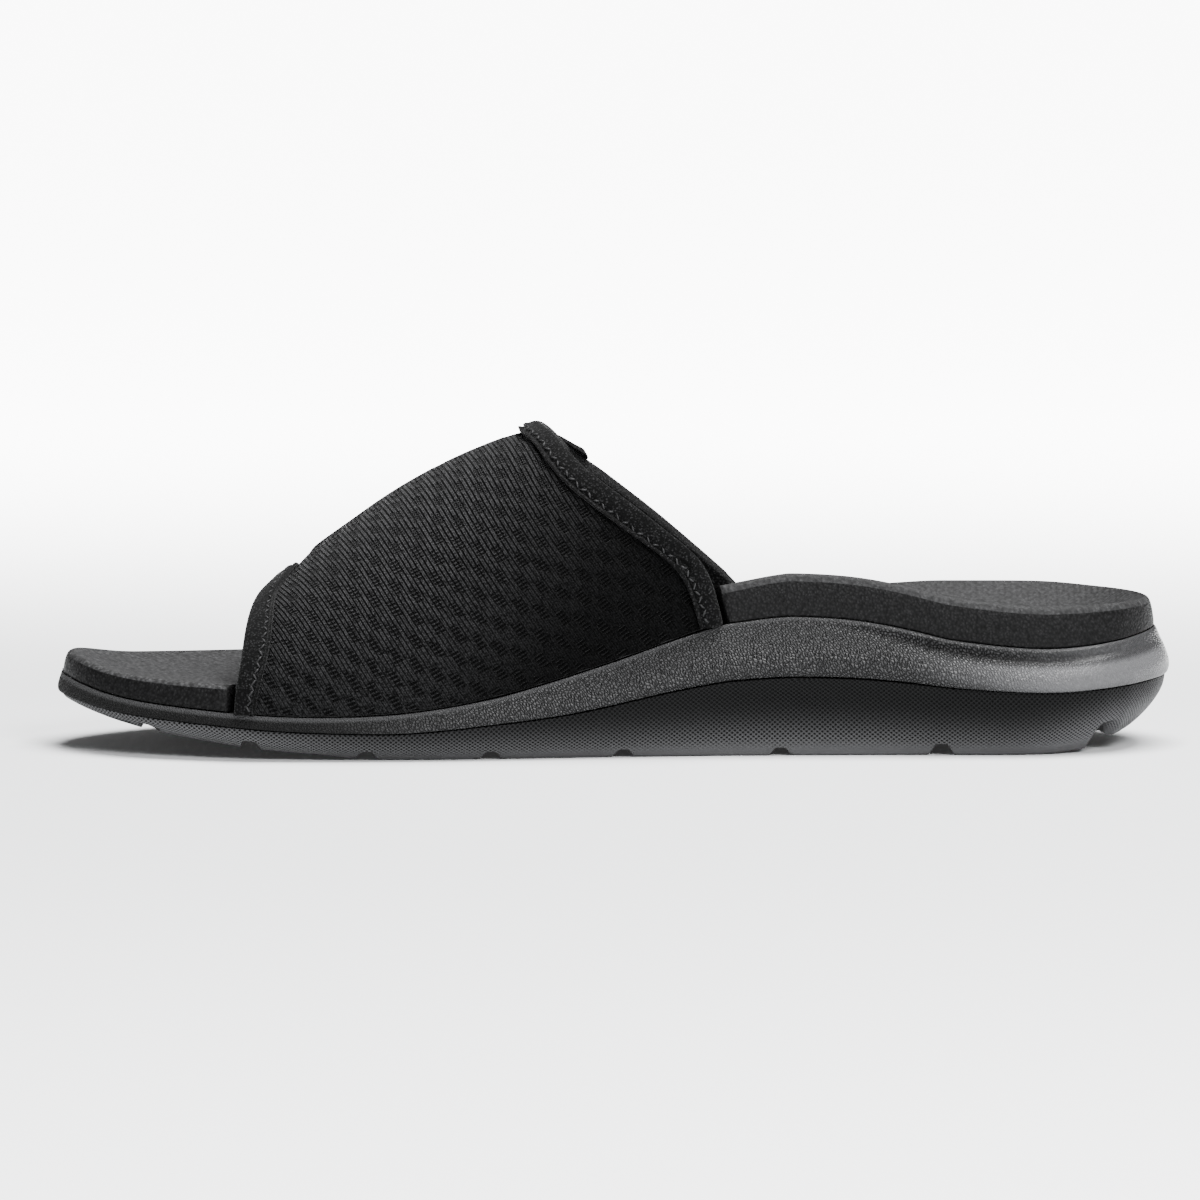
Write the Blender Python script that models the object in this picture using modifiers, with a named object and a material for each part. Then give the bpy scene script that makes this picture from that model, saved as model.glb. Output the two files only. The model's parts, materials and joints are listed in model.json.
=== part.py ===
"""Sport slide sandal for the right foot, standing empty on its sole.

Metres. +X points to the toe, +Y to the medial side (the arch), +Z up. The origin is on the
floor under the middle of the sole. The sole is three stacked mouldings: outsole, midsole and
footbed. The upper is one wide band of padded knit, its edges bound, with a closure flap on top.
"""

import math
from collections import namedtuple

import bmesh
import bpy
from mathutils import Vector

# Sole, seen from above
SOLE_LENGTH = 0.290
BALL_WIDTH = 0.102
HEEL_WIDTH = 0.075
HEEL_ROUND = 0.135  # share of the length that the heel's round takes
TOE_ROUND_MEDIAL = 0.215
TOE_ROUND_LATERAL = 0.30
TOE_SWING = 0.007  # how far the toe's tip lies to the medial side
TOE_SWING_START = 0.60  # share of the length
WIDEN_START = 0.18  # shares of the length between which the sole widens from heel to ball
WIDEN_END = 0.66

# Heights over the floor, at their highest on the medial side
STEP_HEIGHT = 0.0208  # where the outsole's wall meets the midsole
SEAM_HEIGHT = 0.0363  # where the midsole meets the footbed
RIM_HEIGHT = 0.0475  # the footbed's edge

# Underside
TOE_SPRING = 0.0120
TOE_SPRING_START = 0.65  # share of the length
HEEL_BEVEL = 0.008
HEEL_BEVEL_END = 0.125  # share of the length
GROOVE_DEPTH = 0.0023
GROOVE_MOUTH = 0.0058
GROOVE_ROOF = 0.0028
GROOVE_WIDENING = 0.4  # share of its extra depth by which a deep groove is also wider

# Walls of the sole
OUTSOLE_STEP = 0.0012  # how far the outsole's wall stands in under the midsole
OUTSOLE_TUCK = 0.0045  # how far its bottom edge curves in along the sides
STRONG_TUCK = 2.0  # how soon a stronger tuck, as at the heel, draws a groove's mouth in with the wall
ARCH_HOLLOW = 0.0024  # hollow in the outsole's wall under the arch
ARCH_CENTRE = 0.33  # share of the length
ARCH_REACH = 0.20  # of the hollow to either side, as a share of the length
MIDSOLE_UPRIGHT = 0.0022  # a midsole wall no taller than this stands upright
MIDSOLE_LEAN_RATE = 0.36  # lean for each unit of wall height above that
LEDGE_LEAN = 1.10  # lean at the midsole's softened top edge, as a share of its wall's
FOOTBED_REVEAL = 0.0005  # ledge of midsole that shows outside the footbed
RECESS_START = 0.0032  # the footbed's wall begins to give way this far outside the band
RECESS_FULL = 0.0020  # and has given way this far outside it
RIM_TURN = 0.038  # share of the way over the foot at which the band passes the footbed's rim
LEAN_NEAR = 0.012  # share of the length round the band's rear foot that leans with its edge
LEAN_FADE_BEHIND = 0.008  # shares of the length over which that lean fades
LEAN_FADE_BEFORE = 0.043
BAND_ROOM = 0.0009  # between the footbed's wall and the band, which leans in over it
FOOTBED_LEAN = 0.0026  # lean of the footbed's wall, from seam to rim
FOOTBED_DISH = 0.011
FOOTBED_DISH_FULLNESS = 2.6  # more is flatter across the middle
MIDSOLE_DISH = 0.008
MIDSOLE_DISH_FULLNESS = 2.4
GAP = 0.0003  # between pieces that touch

# Upper
INSTEP_HEIGHT = 0.0826  # crown of the band over the floor, at its collar
CROWN_OFFSET = 0.005  # the crown lies to the medial side of the middle
WALL = 0.0020
MEDIAL_FULLNESS = 2.35  # 2 is an ellipse, more is squarer
LATERAL_FULLNESS = 2.00
COLLAR_BAND_WIDTH = 0.0064
COLLAR_BAND_THICKNESS = 0.0009
TOE_BAND_WIDTH = 0.0060
TOE_BAND_THICKNESS = 0.0006
BINDING_NARROW = 0.70  # width of a binding at its feet and crown, as a share of its width on the sides
BINDING_WIDEST = 0.19  # share of the way over the foot, from either side
BINDING_SPREAD = 0.228  # share of the way over the foot in which it narrows from there
BINDING_FLAT = 0.7  # share of its width that lies flat, before it rounds off to its fold
FOLD_SHOULDER = 0.55  # how far past the band's edge the fold's shoulder is, as a share of its nose
FOLD_DROP = 0.35  # how far the shoulder has dropped, as a share of the binding's thickness
FOLD_NOSE = 0.2  # share of the band's wall between each of its faces and the fold's nose
SEAM_RIDGE = 0.0005  # raised seam along the inner edge of each binding
SEAM_WIDTH = 0.0010
SEAM_FOOT = 0.0016  # its width where it meets the binding
FLAP_THICKNESS = 0.0020
FLAP_OVERHANG = 0.0036  # the flap's tab beyond the collar
FLAP_START = 0.575  # shares of the way over the foot, medial to lateral
FLAP_END = 0.736
FLAP_FRONT_MARGIN = 0.0064  # from the front edge of the band
FLAP_CORNER = 0.0055  # round of its free corners
FLAP_DROOP = 0.0026  # how far its tab bends down past the collar
FLAP_ROOT_SHARE = 0.15  # thickness at its root and its front edge, as a share
FLAP_TAPER = 0.016  # from its front edge to its full thickness
FLAP_STEP = 0.0045  # length of its step up over the collar's binding

# Fineness of the surfaces
ROUND_SECTIONS = 6  # sections of the sole in the round of its heel, and of its toe
HEEL_FACET = math.radians(15)  # turn of the round between two of them
TOE_FACET = math.radians(12.5)
SECTIONS_BETWEEN = (0.17, 0.28, 0.44, 0.53, 0.57, 0.645, 0.685, 0.76)  # shares of the length
SECTION_SPACING = 0.0035  # least share of the length from such a section to the next
STEP_SHARES = (-1, -0.5, 0, 0.5, 1)  # rows along the sole, lateral edge to medial, at each level
SEAM_SHARES = (-1, -0.8, -0.4, 0, 0.4, 0.8, 1)
RIM_SHARES = (-1, -0.84, -0.66, -0.38, 0, 0.38, 0.66, 0.84, 1)
TURN_FACETS = 34  # facets of the band over the foot
BACKS = (0, 0.06, 0.13, 0.22, 0.32, 0.42, 0.52, 0.62, 0.72, 0.81, 0.88, 0.94, 1)  # front to collar
FLAP_COLUMNS = 10  # facets of the flap from its root to its free end
FLAP_CORNER_ROWS = 5
FLAP_MIDDLE_ROWS = 5
FLAP_REAR_ROWS = 8
SHARP_ABOVE = math.radians(50)

BLACK_FOAM = (0.020, 0.020, 0.021)
BLACK_KNIT = (0.012, 0.012, 0.013)

Outline = namedtuple("Outline", "along medial lateral")
OUTLINE = [  # shares of half the sole's local width
    Outline(0.00, 1.00, 0.97),
    Outline(0.15, 1.00, 0.97),
    Outline(0.30, 0.950, 0.972),
    Outline(0.40, 0.895, 0.979),
    Outline(0.50, 0.880, 0.989),
    Outline(0.60, 0.915, 1.020),
    Outline(0.67, 0.950, 1.040),
    Outline(0.76, 0.970, 1.035),
    Outline(0.86, 0.965, 1.000),
    Outline(1.00, 0.940, 0.940),
]

Level = namedtuple("Level", "along step_medial step_lateral seam_medial seam_lateral rim_medial rim_lateral")
LEVELS = [  # shares of STEP_HEIGHT, SEAM_HEIGHT and RIM_HEIGHT
    Level(0.00, 0.892, 0.892, 0.851, 0.851, 0.810, 0.810),
    Level(0.05, 0.830, 0.830, 0.792, 0.792, 0.810, 0.815),
    Level(0.11, 0.797, 0.788, 0.757, 0.751, 0.805, 0.832),
    Level(0.20, 0.858, 0.778, 0.824, 0.738, 0.857, 0.832),
    Level(0.26, 0.962, 0.769, 0.951, 0.732, 0.957, 0.812),
    Level(0.32, 1.000, 0.750, 1.000, 0.719, 1.000, 0.775),
    Level(0.40, 0.943, 0.703, 0.941, 0.681, 0.930, 0.722),
    Level(0.47, 0.755, 0.613, 0.759, 0.605, 0.787, 0.663),
    Level(0.54, 0.547, 0.509, 0.578, 0.519, 0.642, 0.600),
    Level(0.61, 0.434, 0.415, 0.430, 0.416, 0.528, 0.522),
    Level(0.69, 0.335, 0.340, 0.332, 0.335, 0.445, 0.445),
    Level(0.76, 0.349, 0.349, 0.311, 0.314, 0.410, 0.420),
    Level(0.86, 0.443, 0.443, 0.354, 0.354, 0.418, 0.428),
    Level(0.95, 0.557, 0.557, 0.432, 0.432, 0.455, 0.455),
    Level(1.00, 0.698, 0.698, 0.541, 0.541, 0.528, 0.528),
]

Dish = namedtuple("Dish", "along footbed midsole tuck")
DISHES = [  # shares of FOOTBED_DISH, MIDSOLE_DISH and OUTSOLE_TUCK
    Dish(0.00, 0.00, 0.00, 2.50),
    Dish(0.05, 0.52, 0.37, 1.85),
    Dish(0.11, 0.82, 0.69, 1.25),
    Dish(0.20, 0.92, 0.81, 1.00),
    Dish(0.33, 1.00, 1.00, 1.00),
    Dish(0.40, 0.84, 0.75, 1.00),
    Dish(0.47, 0.60, 0.50, 1.00),
    Dish(0.54, 0.41, 0.25, 1.00),
    Dish(0.61, 0.27, 0.10, 1.00),
    Dish(0.69, 0.17, 0.03, 1.00),
    Dish(0.76, 0.13, 0.00, 1.00),
    Dish(0.95, 0.07, 0.00, 1.35),
    Dish(1.00, 0.00, 0.00, 1.80),
]

Groove = namedtuple("Groove", "along depth middle")
GROOVES = [  # centres as shares of the length, depths as shares of GROOVE_DEPTH and of that in the middle
    Groove(0.0510, 2.30, 0.35),
    Groove(0.2095, 1.30, 1.0),
    Groove(0.352, 0.90, 1.0),
    Groove(0.490, 0.90, 1.0),
    Groove(0.607, 0.95, 1.0),
    Groove(0.718, 0.95, 1.0),
    Groove(0.8235, 1.20, 1.0),
    Groove(0.9220, 1.10, 1.0),
]

Crown = namedtuple("Crown", "along height")
CROWNS = [  # top line of the foot form, as shares of INSTEP_HEIGHT
    Crown(0.38, 1.200),
    Crown(0.45, 1.152),
    Crown(0.50, 1.090),
    Crown(0.535, 1.042),
    Crown(0.57, 1.000),
    Crown(0.60, 0.960),
    Crown(0.64, 0.900),
    Crown(0.675, 0.838),
    Crown(0.71, 0.760),
    Crown(0.745, 0.668),
    Crown(0.765, 0.621),
    Crown(0.78, 0.568),
    Crown(0.80, 0.520),
    Crown(0.84, 0.488),
]

Opening = namedtuple("Opening", "along front collar")
OPENINGS = [  # along is the way over the foot, medial to lateral; the others are shares of the length
    Opening(0.000, 0.832, 0.407),
    Opening(0.060, 0.8295, 0.422),
    Opening(0.128, 0.826, 0.460),
    Opening(0.169, 0.8245, 0.482),
    Opening(0.228, 0.8225, 0.511),
    Opening(0.283, 0.820, 0.532),
    Opening(0.367, 0.8145, 0.552),
    Opening(0.500, 0.799, 0.570),
    Opening(0.667, 0.794, 0.549),
    Opening(0.772, 0.793, 0.506),
    Opening(0.850, 0.793, 0.460),
    Opening(0.911, 0.793, 0.417),
    Opening(0.952, 0.793, 0.387),
    Opening(1.000, 0.793, 0.374),
]

OutsoleWall = namedtuple("OutsoleWall", "rise tuck hollow groove")
OUTSOLE_WALL = [  # rise from bottom to step; shares of the tuck, the arch's hollow and the groove's lift
    OutsoleWall(0.00, 1.00, 0.00, 1.00),
    OutsoleWall(0.10, 0.75, 0.12, 0.73),
    OutsoleWall(0.32, 0.34, 0.60, 0.31),
    OutsoleWall(0.66, 0.05, 0.98, 0.04),
    OutsoleWall(0.92, 0.00, 0.34, 0.00),
    OutsoleWall(1.00, 0.00, 0.00, 0.00),
]

Wall = namedtuple("Wall", "rise lean")
MIDSOLE_WALL = [  # rise from step to seam, and share of the lean
    Wall(0.00, 0.16),
    Wall(0.10, 0.00),
    Wall(0.30, 0.02),
    Wall(0.55, 0.34),
    Wall(0.80, 0.76),
    Wall(0.95, 0.94),
    Wall(1.00, LEDGE_LEAN),
]
FOOTBED_WALL = [  # rise from seam to rim, and share of the lean
    Wall(0.00, 0.00),
    Wall(0.14, 0.00),
    Wall(0.55, 0.16),
    Wall(0.85, 0.40),
    Wall(0.965, 0.66),
    Wall(1.00, 1.00),
]

MEDIAL, LATERAL = 1, -1


def mix(a, b, share):
    return a + (b - a) * share


def ease(share):
    """0 to 1 with soft ends."""
    share = min(max(share, 0.0), 1.0)
    return share * share * (3 - 2 * share)


def table_curve(rows, column, by="along"):
    """A smooth curve through one column of a table, which doesn't overshoot between rows."""
    at = [getattr(row, by) for row in rows]
    values = [getattr(row, column) for row in rows]
    slopes = [(values[i + 1] - values[i]) / (at[i + 1] - at[i]) for i in range(len(at) - 1)]
    tangents = [slopes[0]]
    for before, after in zip(slopes, slopes[1:]):
        same_way = before * after > 0
        tangents.append(2 * before * after / (before + after) if same_way else 0.0)
    tangents.append(slopes[-1])

    def value(along):
        along = min(max(along, at[0]), at[-1])
        i = max(k for k in range(len(at) - 1) if at[k] <= along)
        span = at[i + 1] - at[i]
        t = (along - at[i]) / span
        start = (1 + 2 * t) * (1 - t) ** 2 * values[i] + t * (1 - t) ** 2 * span * tangents[i]
        end = t * t * (3 - 2 * t) * values[i + 1] + t * t * (t - 1) * span * tangents[i + 1]
        return start + end

    return value


def side_curves(rows, name, size):
    """The medial and lateral columns of a table, in metres."""
    return {
        side: (lambda along, curve=table_curve(rows, name + word): size * curve(along))
        for side, word in ((MEDIAL, "medial"), (LATERAL, "lateral"))
    }


outline_share = side_curves(OUTLINE, "", 1.0)
step_height = side_curves(LEVELS, "step_", STEP_HEIGHT)
seam_height = side_curves(LEVELS, "seam_", SEAM_HEIGHT)
rim_height = side_curves(LEVELS, "rim_", RIM_HEIGHT)
footbed_dish = table_curve(DISHES, "footbed")
midsole_dish = table_curve(DISHES, "midsole")
tuck_share = table_curve(DISHES, "tuck")
crown_share = table_curve(CROWNS, "height")
front_share = table_curve(OPENINGS, "front")
collar_share = table_curve(OPENINGS, "collar")
wall_tuck = table_curve(OUTSOLE_WALL, "tuck", "rise")
wall_hollow = table_curve(OUTSOLE_WALL, "hollow", "rise")


def groove_width(groove):
    """How much wider than a plain groove a deep one is."""
    return mix(1.0, groove.depth, GROOVE_WIDENING)


def end_round(along, side):
    """How much of the local width is left in the rounds of the heel and the toe."""
    toe_round = TOE_ROUND_MEDIAL if side == MEDIAL else TOE_ROUND_LATERAL
    heel = max(0.0, 1 - along / HEEL_ROUND)
    toe = max(0.0, 1 - (1 - along) / toe_round)
    return math.sqrt(max(0.0, 1 - heel * heel)) * math.sqrt(max(0.0, 1 - toe * toe))


def plain_edge(along, side):
    """A point of the sole's outline, before it is centred on the origin."""
    width = mix(HEEL_WIDTH, BALL_WIDTH, ease((along - WIDEN_START) / (WIDEN_END - WIDEN_START)))
    spine = TOE_SWING * ease((along - TOE_SWING_START) / (1 - TOE_SWING_START))
    reach = side * width / 2 * outline_share[side](along) - spine
    return Vector(((along - 0.5) * SOLE_LENGTH, spine + reach * end_round(along, side)))


def make_stations():
    """Where along the sole it has a section: groove edges, the band's feet, the rounds and between."""
    found = [0.0, 1.0]
    for groove in GROOVES:
        widen = groove_width(groove)
        for half in (GROOVE_MOUTH / 2 * widen, GROOVE_ROOF / 2 * widen):
            found += [groove.along - half / SOLE_LENGTH, groove.along + half / SOLE_LENGTH]
    feet = []
    for opening in (OPENINGS[0], OPENINGS[-1]):
        for away in (RECESS_FULL, RECESS_START):
            feet += [opening.collar - away / SOLE_LENGTH, opening.front + away / SOLE_LENGTH]
    counts = range(1, ROUND_SECTIONS + 1)
    heel = [HEEL_ROUND * (1 - math.cos(HEEL_FACET * k)) for k in counts]
    toe = [1 - TOE_ROUND_MEDIAL * (1 - math.cos(TOE_FACET * k)) for k in counts]
    for along in (*feet, *heel, *toe, *SECTIONS_BETWEEN):
        if min(abs(along - other) for other in found) > SECTION_SPACING:
            found.append(along)
    return sorted(found)


STATIONS = make_stations()
reach_medial = max(plain_edge(along, MEDIAL).y for along in STATIONS)
reach_lateral = min(plain_edge(along, LATERAL).y for along in STATIONS)
CENTRING = Vector((0.0, -(reach_medial + reach_lateral) / 2))


def edge(along, side):
    return plain_edge(along, side) + CENTRING


def inset_edge(along, side, inset):
    """A point inside the sole's outline, measured square to the outline."""
    nudge = 0.0005
    if along < nudge:
        before, after = edge(nudge, -side), edge(nudge, side)
    elif along > 1 - nudge:
        before, after = edge(1 - nudge, side), edge(1 - nudge, -side)
    else:
        before, after = edge(along - nudge, side), edge(along + nudge, side)
    tangent = (after - before).normalized()
    inward = Vector((tangent.y, -tangent.x)) * side
    return edge(along, side) + inward * inset


def underside(x):
    """Height of the bottom over the floor: flat, with a bevel at the heel and a spring at the toe."""
    along = x / SOLE_LENGTH + 0.5
    heel = max(0.0, 1 - along / HEEL_BEVEL_END)
    toe = max(0.0, (along - TOE_SPRING_START) / (1 - TOE_SPRING_START))
    return HEEL_BEVEL * heel**2 + TOE_SPRING * toe**2


def groove_lift(along, inward=0.0):
    """How far the nearest groove cuts the bottom up. inward is 0 at the sole's edges, 1 in its middle."""
    for groove in GROOVES:
        mouth = GROOVE_MOUTH / 2 * groove_width(groove)
        roof = GROOVE_ROOF / 2 * groove_width(groove)
        away = abs(along - groove.along) * SOLE_LENGTH
        if away < mouth:
            depth = GROOVE_DEPTH * groove.depth * mix(1.0, groove.middle, inward)
            return depth * min(1.0, (mouth - away) / (mouth - roof))
    return 0.0


def wall_lean(along, side):
    """How far the midsole's wall leans in between the step and the seam."""
    tall = seam_height[side](along) - step_height[side](along)
    return MIDSOLE_LEAN_RATE * max(0.0, tall - MIDSOLE_UPRIGHT)


def under_band(along, side):
    """1 where the band's foot runs past the footbed, 0 clear of it."""
    turn = 0.0 if side == MEDIAL else 1.0
    behind = (along - collar_share(turn)) * SOLE_LENGTH + RECESS_START
    before = (front_share(turn) - along) * SOLE_LENGTH + RECESS_START
    return ease(behind / (RECESS_START - RECESS_FULL)) * ease(before / (RECESS_START - RECESS_FULL))


def collar_slide(along, side):
    """How far the footbed's rim leans to the toe, as a share of the length, to follow the collar."""
    foot, above = (0.0, RIM_TURN) if side == MEDIAL else (1.0, 1 - RIM_TURN)
    away = along - collar_share(foot)
    fade = LEAN_FADE_BEFORE if away > 0 else LEAN_FADE_BEHIND
    near = ease(1 - (abs(away) - LEAN_NEAR) / fade)
    return near * (collar_share(above) - collar_share(foot))


def beside_binding(along, side):
    """1 beside the inner fold of a binding, 0 away from both."""
    turn = 0.0 if side == MEDIAL else 1.0
    away = min(abs(along - collar_share(turn)), abs(along - front_share(turn))) * SOLE_LENGTH
    return 1 - ease((away - max(COLLAR_BAND_WIDTH, TOE_BAND_WIDTH) - RECESS_FULL) / RECESS_START)


def ledge_inset(along, side):
    """Where the band's outer face meets the midsole's top."""
    return wall_lean(along, side) * LEDGE_LEAN + GAP


def footbed_inset(along, side):
    """Where the footbed's wall stands: it gives way to the band's wall and the folds of its bindings."""
    fold = GAP + max(COLLAR_BAND_THICKNESS, TOE_BAND_THICKNESS)
    behind_band = ledge_inset(along, side) + WALL + fold * beside_binding(along, side) + BAND_ROOM
    return mix(wall_lean(along, side) + FOOTBED_REVEAL, behind_band, under_band(along, side))


def ring(inset, height, slide=lambda along, side: 0.0):
    """One closed line round the sole, from the heel along the medial side and back along the lateral."""

    def point(along, side):
        moved = along + slide(along, side)
        x, y = inset_edge(moved, side, inset(along, side))
        return Vector((x, y, height(moved, side, x)))

    medial = [point(along, MEDIAL) for along in STATIONS]
    lateral = [point(along, LATERAL) for along in reversed(STATIONS[1:-1])]
    return medial + lateral


def close_across(bm, loop, shares, place):
    """Fills a ring with rows across the sole. place takes the station, the row's ends and the share."""
    last = len(STATIONS) - 1
    rows = []
    for i in range(1, last):
        medial, lateral = loop[i], loop[-i]
        inner = [bm.verts.new(place(STATIONS[i], lateral.co, medial.co, share)) for share in shares[1:-1]]
        rows.append([lateral, *inner, medial])
    for row, following in zip(rows, rows[1:]):
        for k in range(len(row) - 1):
            bm.faces.new((row[k], row[k + 1], following[k + 1], following[k]))
    for tip, row in ((loop[0], rows[0]), (loop[last], rows[-1])):
        for k in range(len(row) - 1):
            bm.faces.new((tip, row[k], row[k + 1]))


def loft(name, rings, bottom, top, material):
    """A moulding: rings stacked from the bottom up, closed across below and above."""
    bm = bmesh.new()
    loops = [[bm.verts.new(place) for place in places] for places in rings]
    for lower, upper in zip(loops, loops[1:]):
        for k in range(len(lower)):
            following = (k + 1) % len(lower)
            bm.faces.new((upper[k], upper[following], lower[following], lower[k]))
    close_across(bm, loops[0], *bottom)
    close_across(bm, loops[-1], *top)
    bmesh.ops.recalc_face_normals(bm, faces=bm.faces)
    finish(name, bm, material)


def finish(name, bm, material):
    mesh = bpy.data.meshes.new(name)
    bm.to_mesh(mesh)
    bm.free()
    mesh.shade_smooth()
    mesh.set_sharp_from_angle(angle=SHARP_ABOVE)
    mesh.materials.append(material)
    part = bpy.data.objects.new(name, mesh)
    sandal.objects.link(part)
    return part


def make_material(name, colour, roughness):
    material = bpy.data.materials.new(name)
    material.use_nodes = True
    surface = material.node_tree.nodes["Principled BSDF"]
    surface.inputs["Base Color"].default_value = (*colour, 1.0)
    surface.inputs["Roughness"].default_value = roughness
    surface.inputs["Metallic"].default_value = 0.0
    return material


def step_place(along, lateral, medial, share):
    """Face between outsole and midsole: straight across."""
    return lateral.lerp(medial, (share + 1) / 2)


def seam_place(along, share):
    """A point on the midsole's dished top, which the footbed sits in."""
    ends = [inset_edge(along, side, wall_lean(along, side) * LEDGE_LEAN) for side in (LATERAL, MEDIAL)]
    x, y = ends[0].lerp(ends[1], (share + 1) / 2)
    level = mix(seam_height[LATERAL](along), seam_height[MEDIAL](along), (share + 1) / 2)
    depth = MIDSOLE_DISH * midsole_dish(along) * (1 - abs(share) ** MIDSOLE_DISH_FULLNESS)
    return Vector((x, y, level - depth))


def seam_under(along, side, inset):
    """Height of the midsole's top at a distance inside the outline, near its edge."""
    inner, outer = seam_place(along, SEAM_SHARES[-2] * side), seam_place(along, side)
    run = (outer.xy - inner.xy).length
    if run == 0:
        return outer.z
    inward = inset - wall_lean(along, side) * LEDGE_LEAN
    return mix(outer.z, inner.z, min(1.0, max(0.0, inward / run)))


def tread_place(along, lateral, medial, share):
    place = lateral.lerp(medial, (share + 1) / 2)
    place.z = underside(place.x) + groove_lift(along, ease(2 - 2 * abs(share)))
    return place


def full_rim(along, side):
    """A point of the footbed's edge as it would be without the recess for the band."""
    moved = along + collar_slide(along, side)
    x, y = inset_edge(moved, side, wall_lean(along, side) + FOOTBED_REVEAL + FOOTBED_LEAN)
    return Vector((x, y, rim_height[side](moved)))


def rim_place(along, share):
    """Top of the footbed: a deep heel cup and arch, nearly flat under the forefoot."""
    place = full_rim(along, LATERAL).lerp(full_rim(along, MEDIAL), (share + 1) / 2)
    place.z -= FOOTBED_DISH * footbed_dish(along) * (1 - abs(share) ** FOOTBED_DISH_FULLNESS)
    return place


def arch_bump(along, side):
    """1 in the middle of the medial arch, fading to 0 at its ends."""
    return ease(1 - abs(along - ARCH_CENTRE) / ARCH_REACH) if side == MEDIAL else 0.0


def make_outsole():
    def wall(row):
        def inset(along, side):
            floor = underside((along - 0.5) * SOLE_LENGTH)
            cut = groove_lift(along) * row.groove / (step_height[side](along) - floor)
            slightly_tucked = max(0.0, 1 - STRONG_TUCK * (tuck_share(along) - 1))
            uncut_rise = mix(cut * slightly_tucked, 1, row.rise)
            tuck = OUTSOLE_TUCK * tuck_share(along) * wall_tuck(uncut_rise)
            return OUTSOLE_STEP + tuck + ARCH_HOLLOW * arch_bump(along, side) * wall_hollow(uncut_rise)

        def height(along, side, x):
            low = underside(x) + groove_lift(along) * row.groove
            return mix(low, step_height[side](along), row.rise)

        return ring(inset, height)

    rings = [wall(row) for row in OUTSOLE_WALL]
    black = make_material("outsole_foam", BLACK_FOAM, 0.62)
    loft("outsole", rings, (STEP_SHARES, tread_place), (STEP_SHARES, step_place), black)


def make_midsole():
    def wall(row):
        def inset(along, side):
            return wall_lean(along, side) * row.lean

        def height(along, side, x):
            return mix(step_height[side](along) + GAP, seam_height[side](along), row.rise)

        return ring(inset, height)

    black = make_material("midsole_foam", BLACK_FOAM, 0.42)
    above = (SEAM_SHARES, lambda along, lateral, medial, share: seam_place(along, share))
    loft("midsole", [wall(row) for row in MIDSOLE_WALL], (STEP_SHARES, step_place), above, black)


def make_footbed():
    def wall(row):
        def inset(along, side):
            return footbed_inset(along, side) + FOOTBED_LEAN * row.lean

        def height(along, side, x):
            seat = seam_under(along, side, inset(along, side)) + GAP
            return mix(seat, rim_height[side](along), row.rise)

        def slide(along, side):
            return collar_slide(along, side) * row.rise

        return ring(inset, height, slide)

    black = make_material("footbed_foam", BLACK_FOAM, 0.8)
    lifted = Vector((0.0, 0.0, GAP))
    below = (SEAM_SHARES, lambda along, lateral, medial, share: seam_place(along, share) + lifted)
    above = (RIM_SHARES, lambda along, lateral, medial, share: rim_place(along, share))
    loft("footbed", [wall(row) for row in FOOTBED_WALL], below, above, black)


def band_point(turn, back):
    """A point on the band's outer face.

    turn runs over the foot, medial 0 to lateral 1, and back from the front edge 0 to the collar 1.
    """
    along = mix(front_share(turn), collar_share(turn), back)
    side = MEDIAL if turn < 0.5 else LATERAL
    fullness = MEDIAL_FULLNESS if side == MEDIAL else LATERAL_FULLNESS
    angle = math.pi * (turn if side == MEDIAL else 1 - turn)
    sideways = max(0.0, math.cos(angle)) ** (2 / fullness)
    upward = math.sin(angle) ** (2 / fullness)
    foot = inset_edge(along, side, ledge_inset(along, side))
    foot_height = seam_height[side](along) + GAP
    crown = Vector(((along - 0.5) * SOLE_LENGTH, CROWN_OFFSET))
    x = mix(crown.x, foot.x, sideways)
    y = mix(crown.y, foot.y, sideways)
    return Vector((x, y, mix(foot_height, INSTEP_HEIGHT * crown_share(along), upward)))


def band_frame(turn, back):
    """Point, way to the collar and outward normal of the band. back may lie a little outside 0 to 1."""
    nudge = 0.002
    inside = min(max(back, 0.0), 1.0)
    turn_low, turn_high = max(0.0, turn - nudge), min(1.0, turn + nudge)
    back_low, back_high = max(0.0, inside - nudge), min(1.0, inside + nudge)
    over = band_point(turn_high, inside) - band_point(turn_low, inside)
    rearward = (band_point(turn, back_high) - band_point(turn, back_low)) / (back_high - back_low)
    normal = rearward.cross(over).normalized()
    return band_point(turn, inside) + rearward * (back - inside), rearward, normal


def band_place(turn, edge_back, past, out):
    """A point past an edge of the band (edge_back 0 or 1), and out from its outer face."""
    place, rearward, normal = band_frame(turn, edge_back)
    way = 1 if edge_back == 1 else -1
    if past > 0:
        return place + rearward.normalized() * way * past + normal * out
    place, rearward, normal = band_frame(turn, edge_back + way * past / rearward.length)
    return place + normal * out


def grid(columns, rows):
    """A flat grid with a vertex for each column and row; gives each vertex with its two indices."""
    bm = bmesh.new()
    bmesh.ops.create_grid(bm, x_segments=columns - 1, y_segments=rows - 1, size=0.5)
    numbered = [
        (vert, round((vert.co.x + 0.5) * (columns - 1)), round((vert.co.y + 0.5) * (rows - 1)))
        for vert in bm.verts
    ]
    return bm, numbered


def turn_outward(bm):
    """Points an open patch of the band away from the foot."""
    bm.normal_update()
    if sum(face.normal.z for face in bm.faces) < 0:
        bmesh.ops.reverse_faces(bm, faces=bm.faces)


def closer_at_feet(share):
    """An even way over the foot, drawn together a little at the band's feet."""
    return mix(share, 0.5 - 0.5 * math.cos(math.pi * share), 0.5)


TURNS = [closer_at_feet(k / TURN_FACETS) for k in range(TURN_FACETS + 1)]


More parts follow.
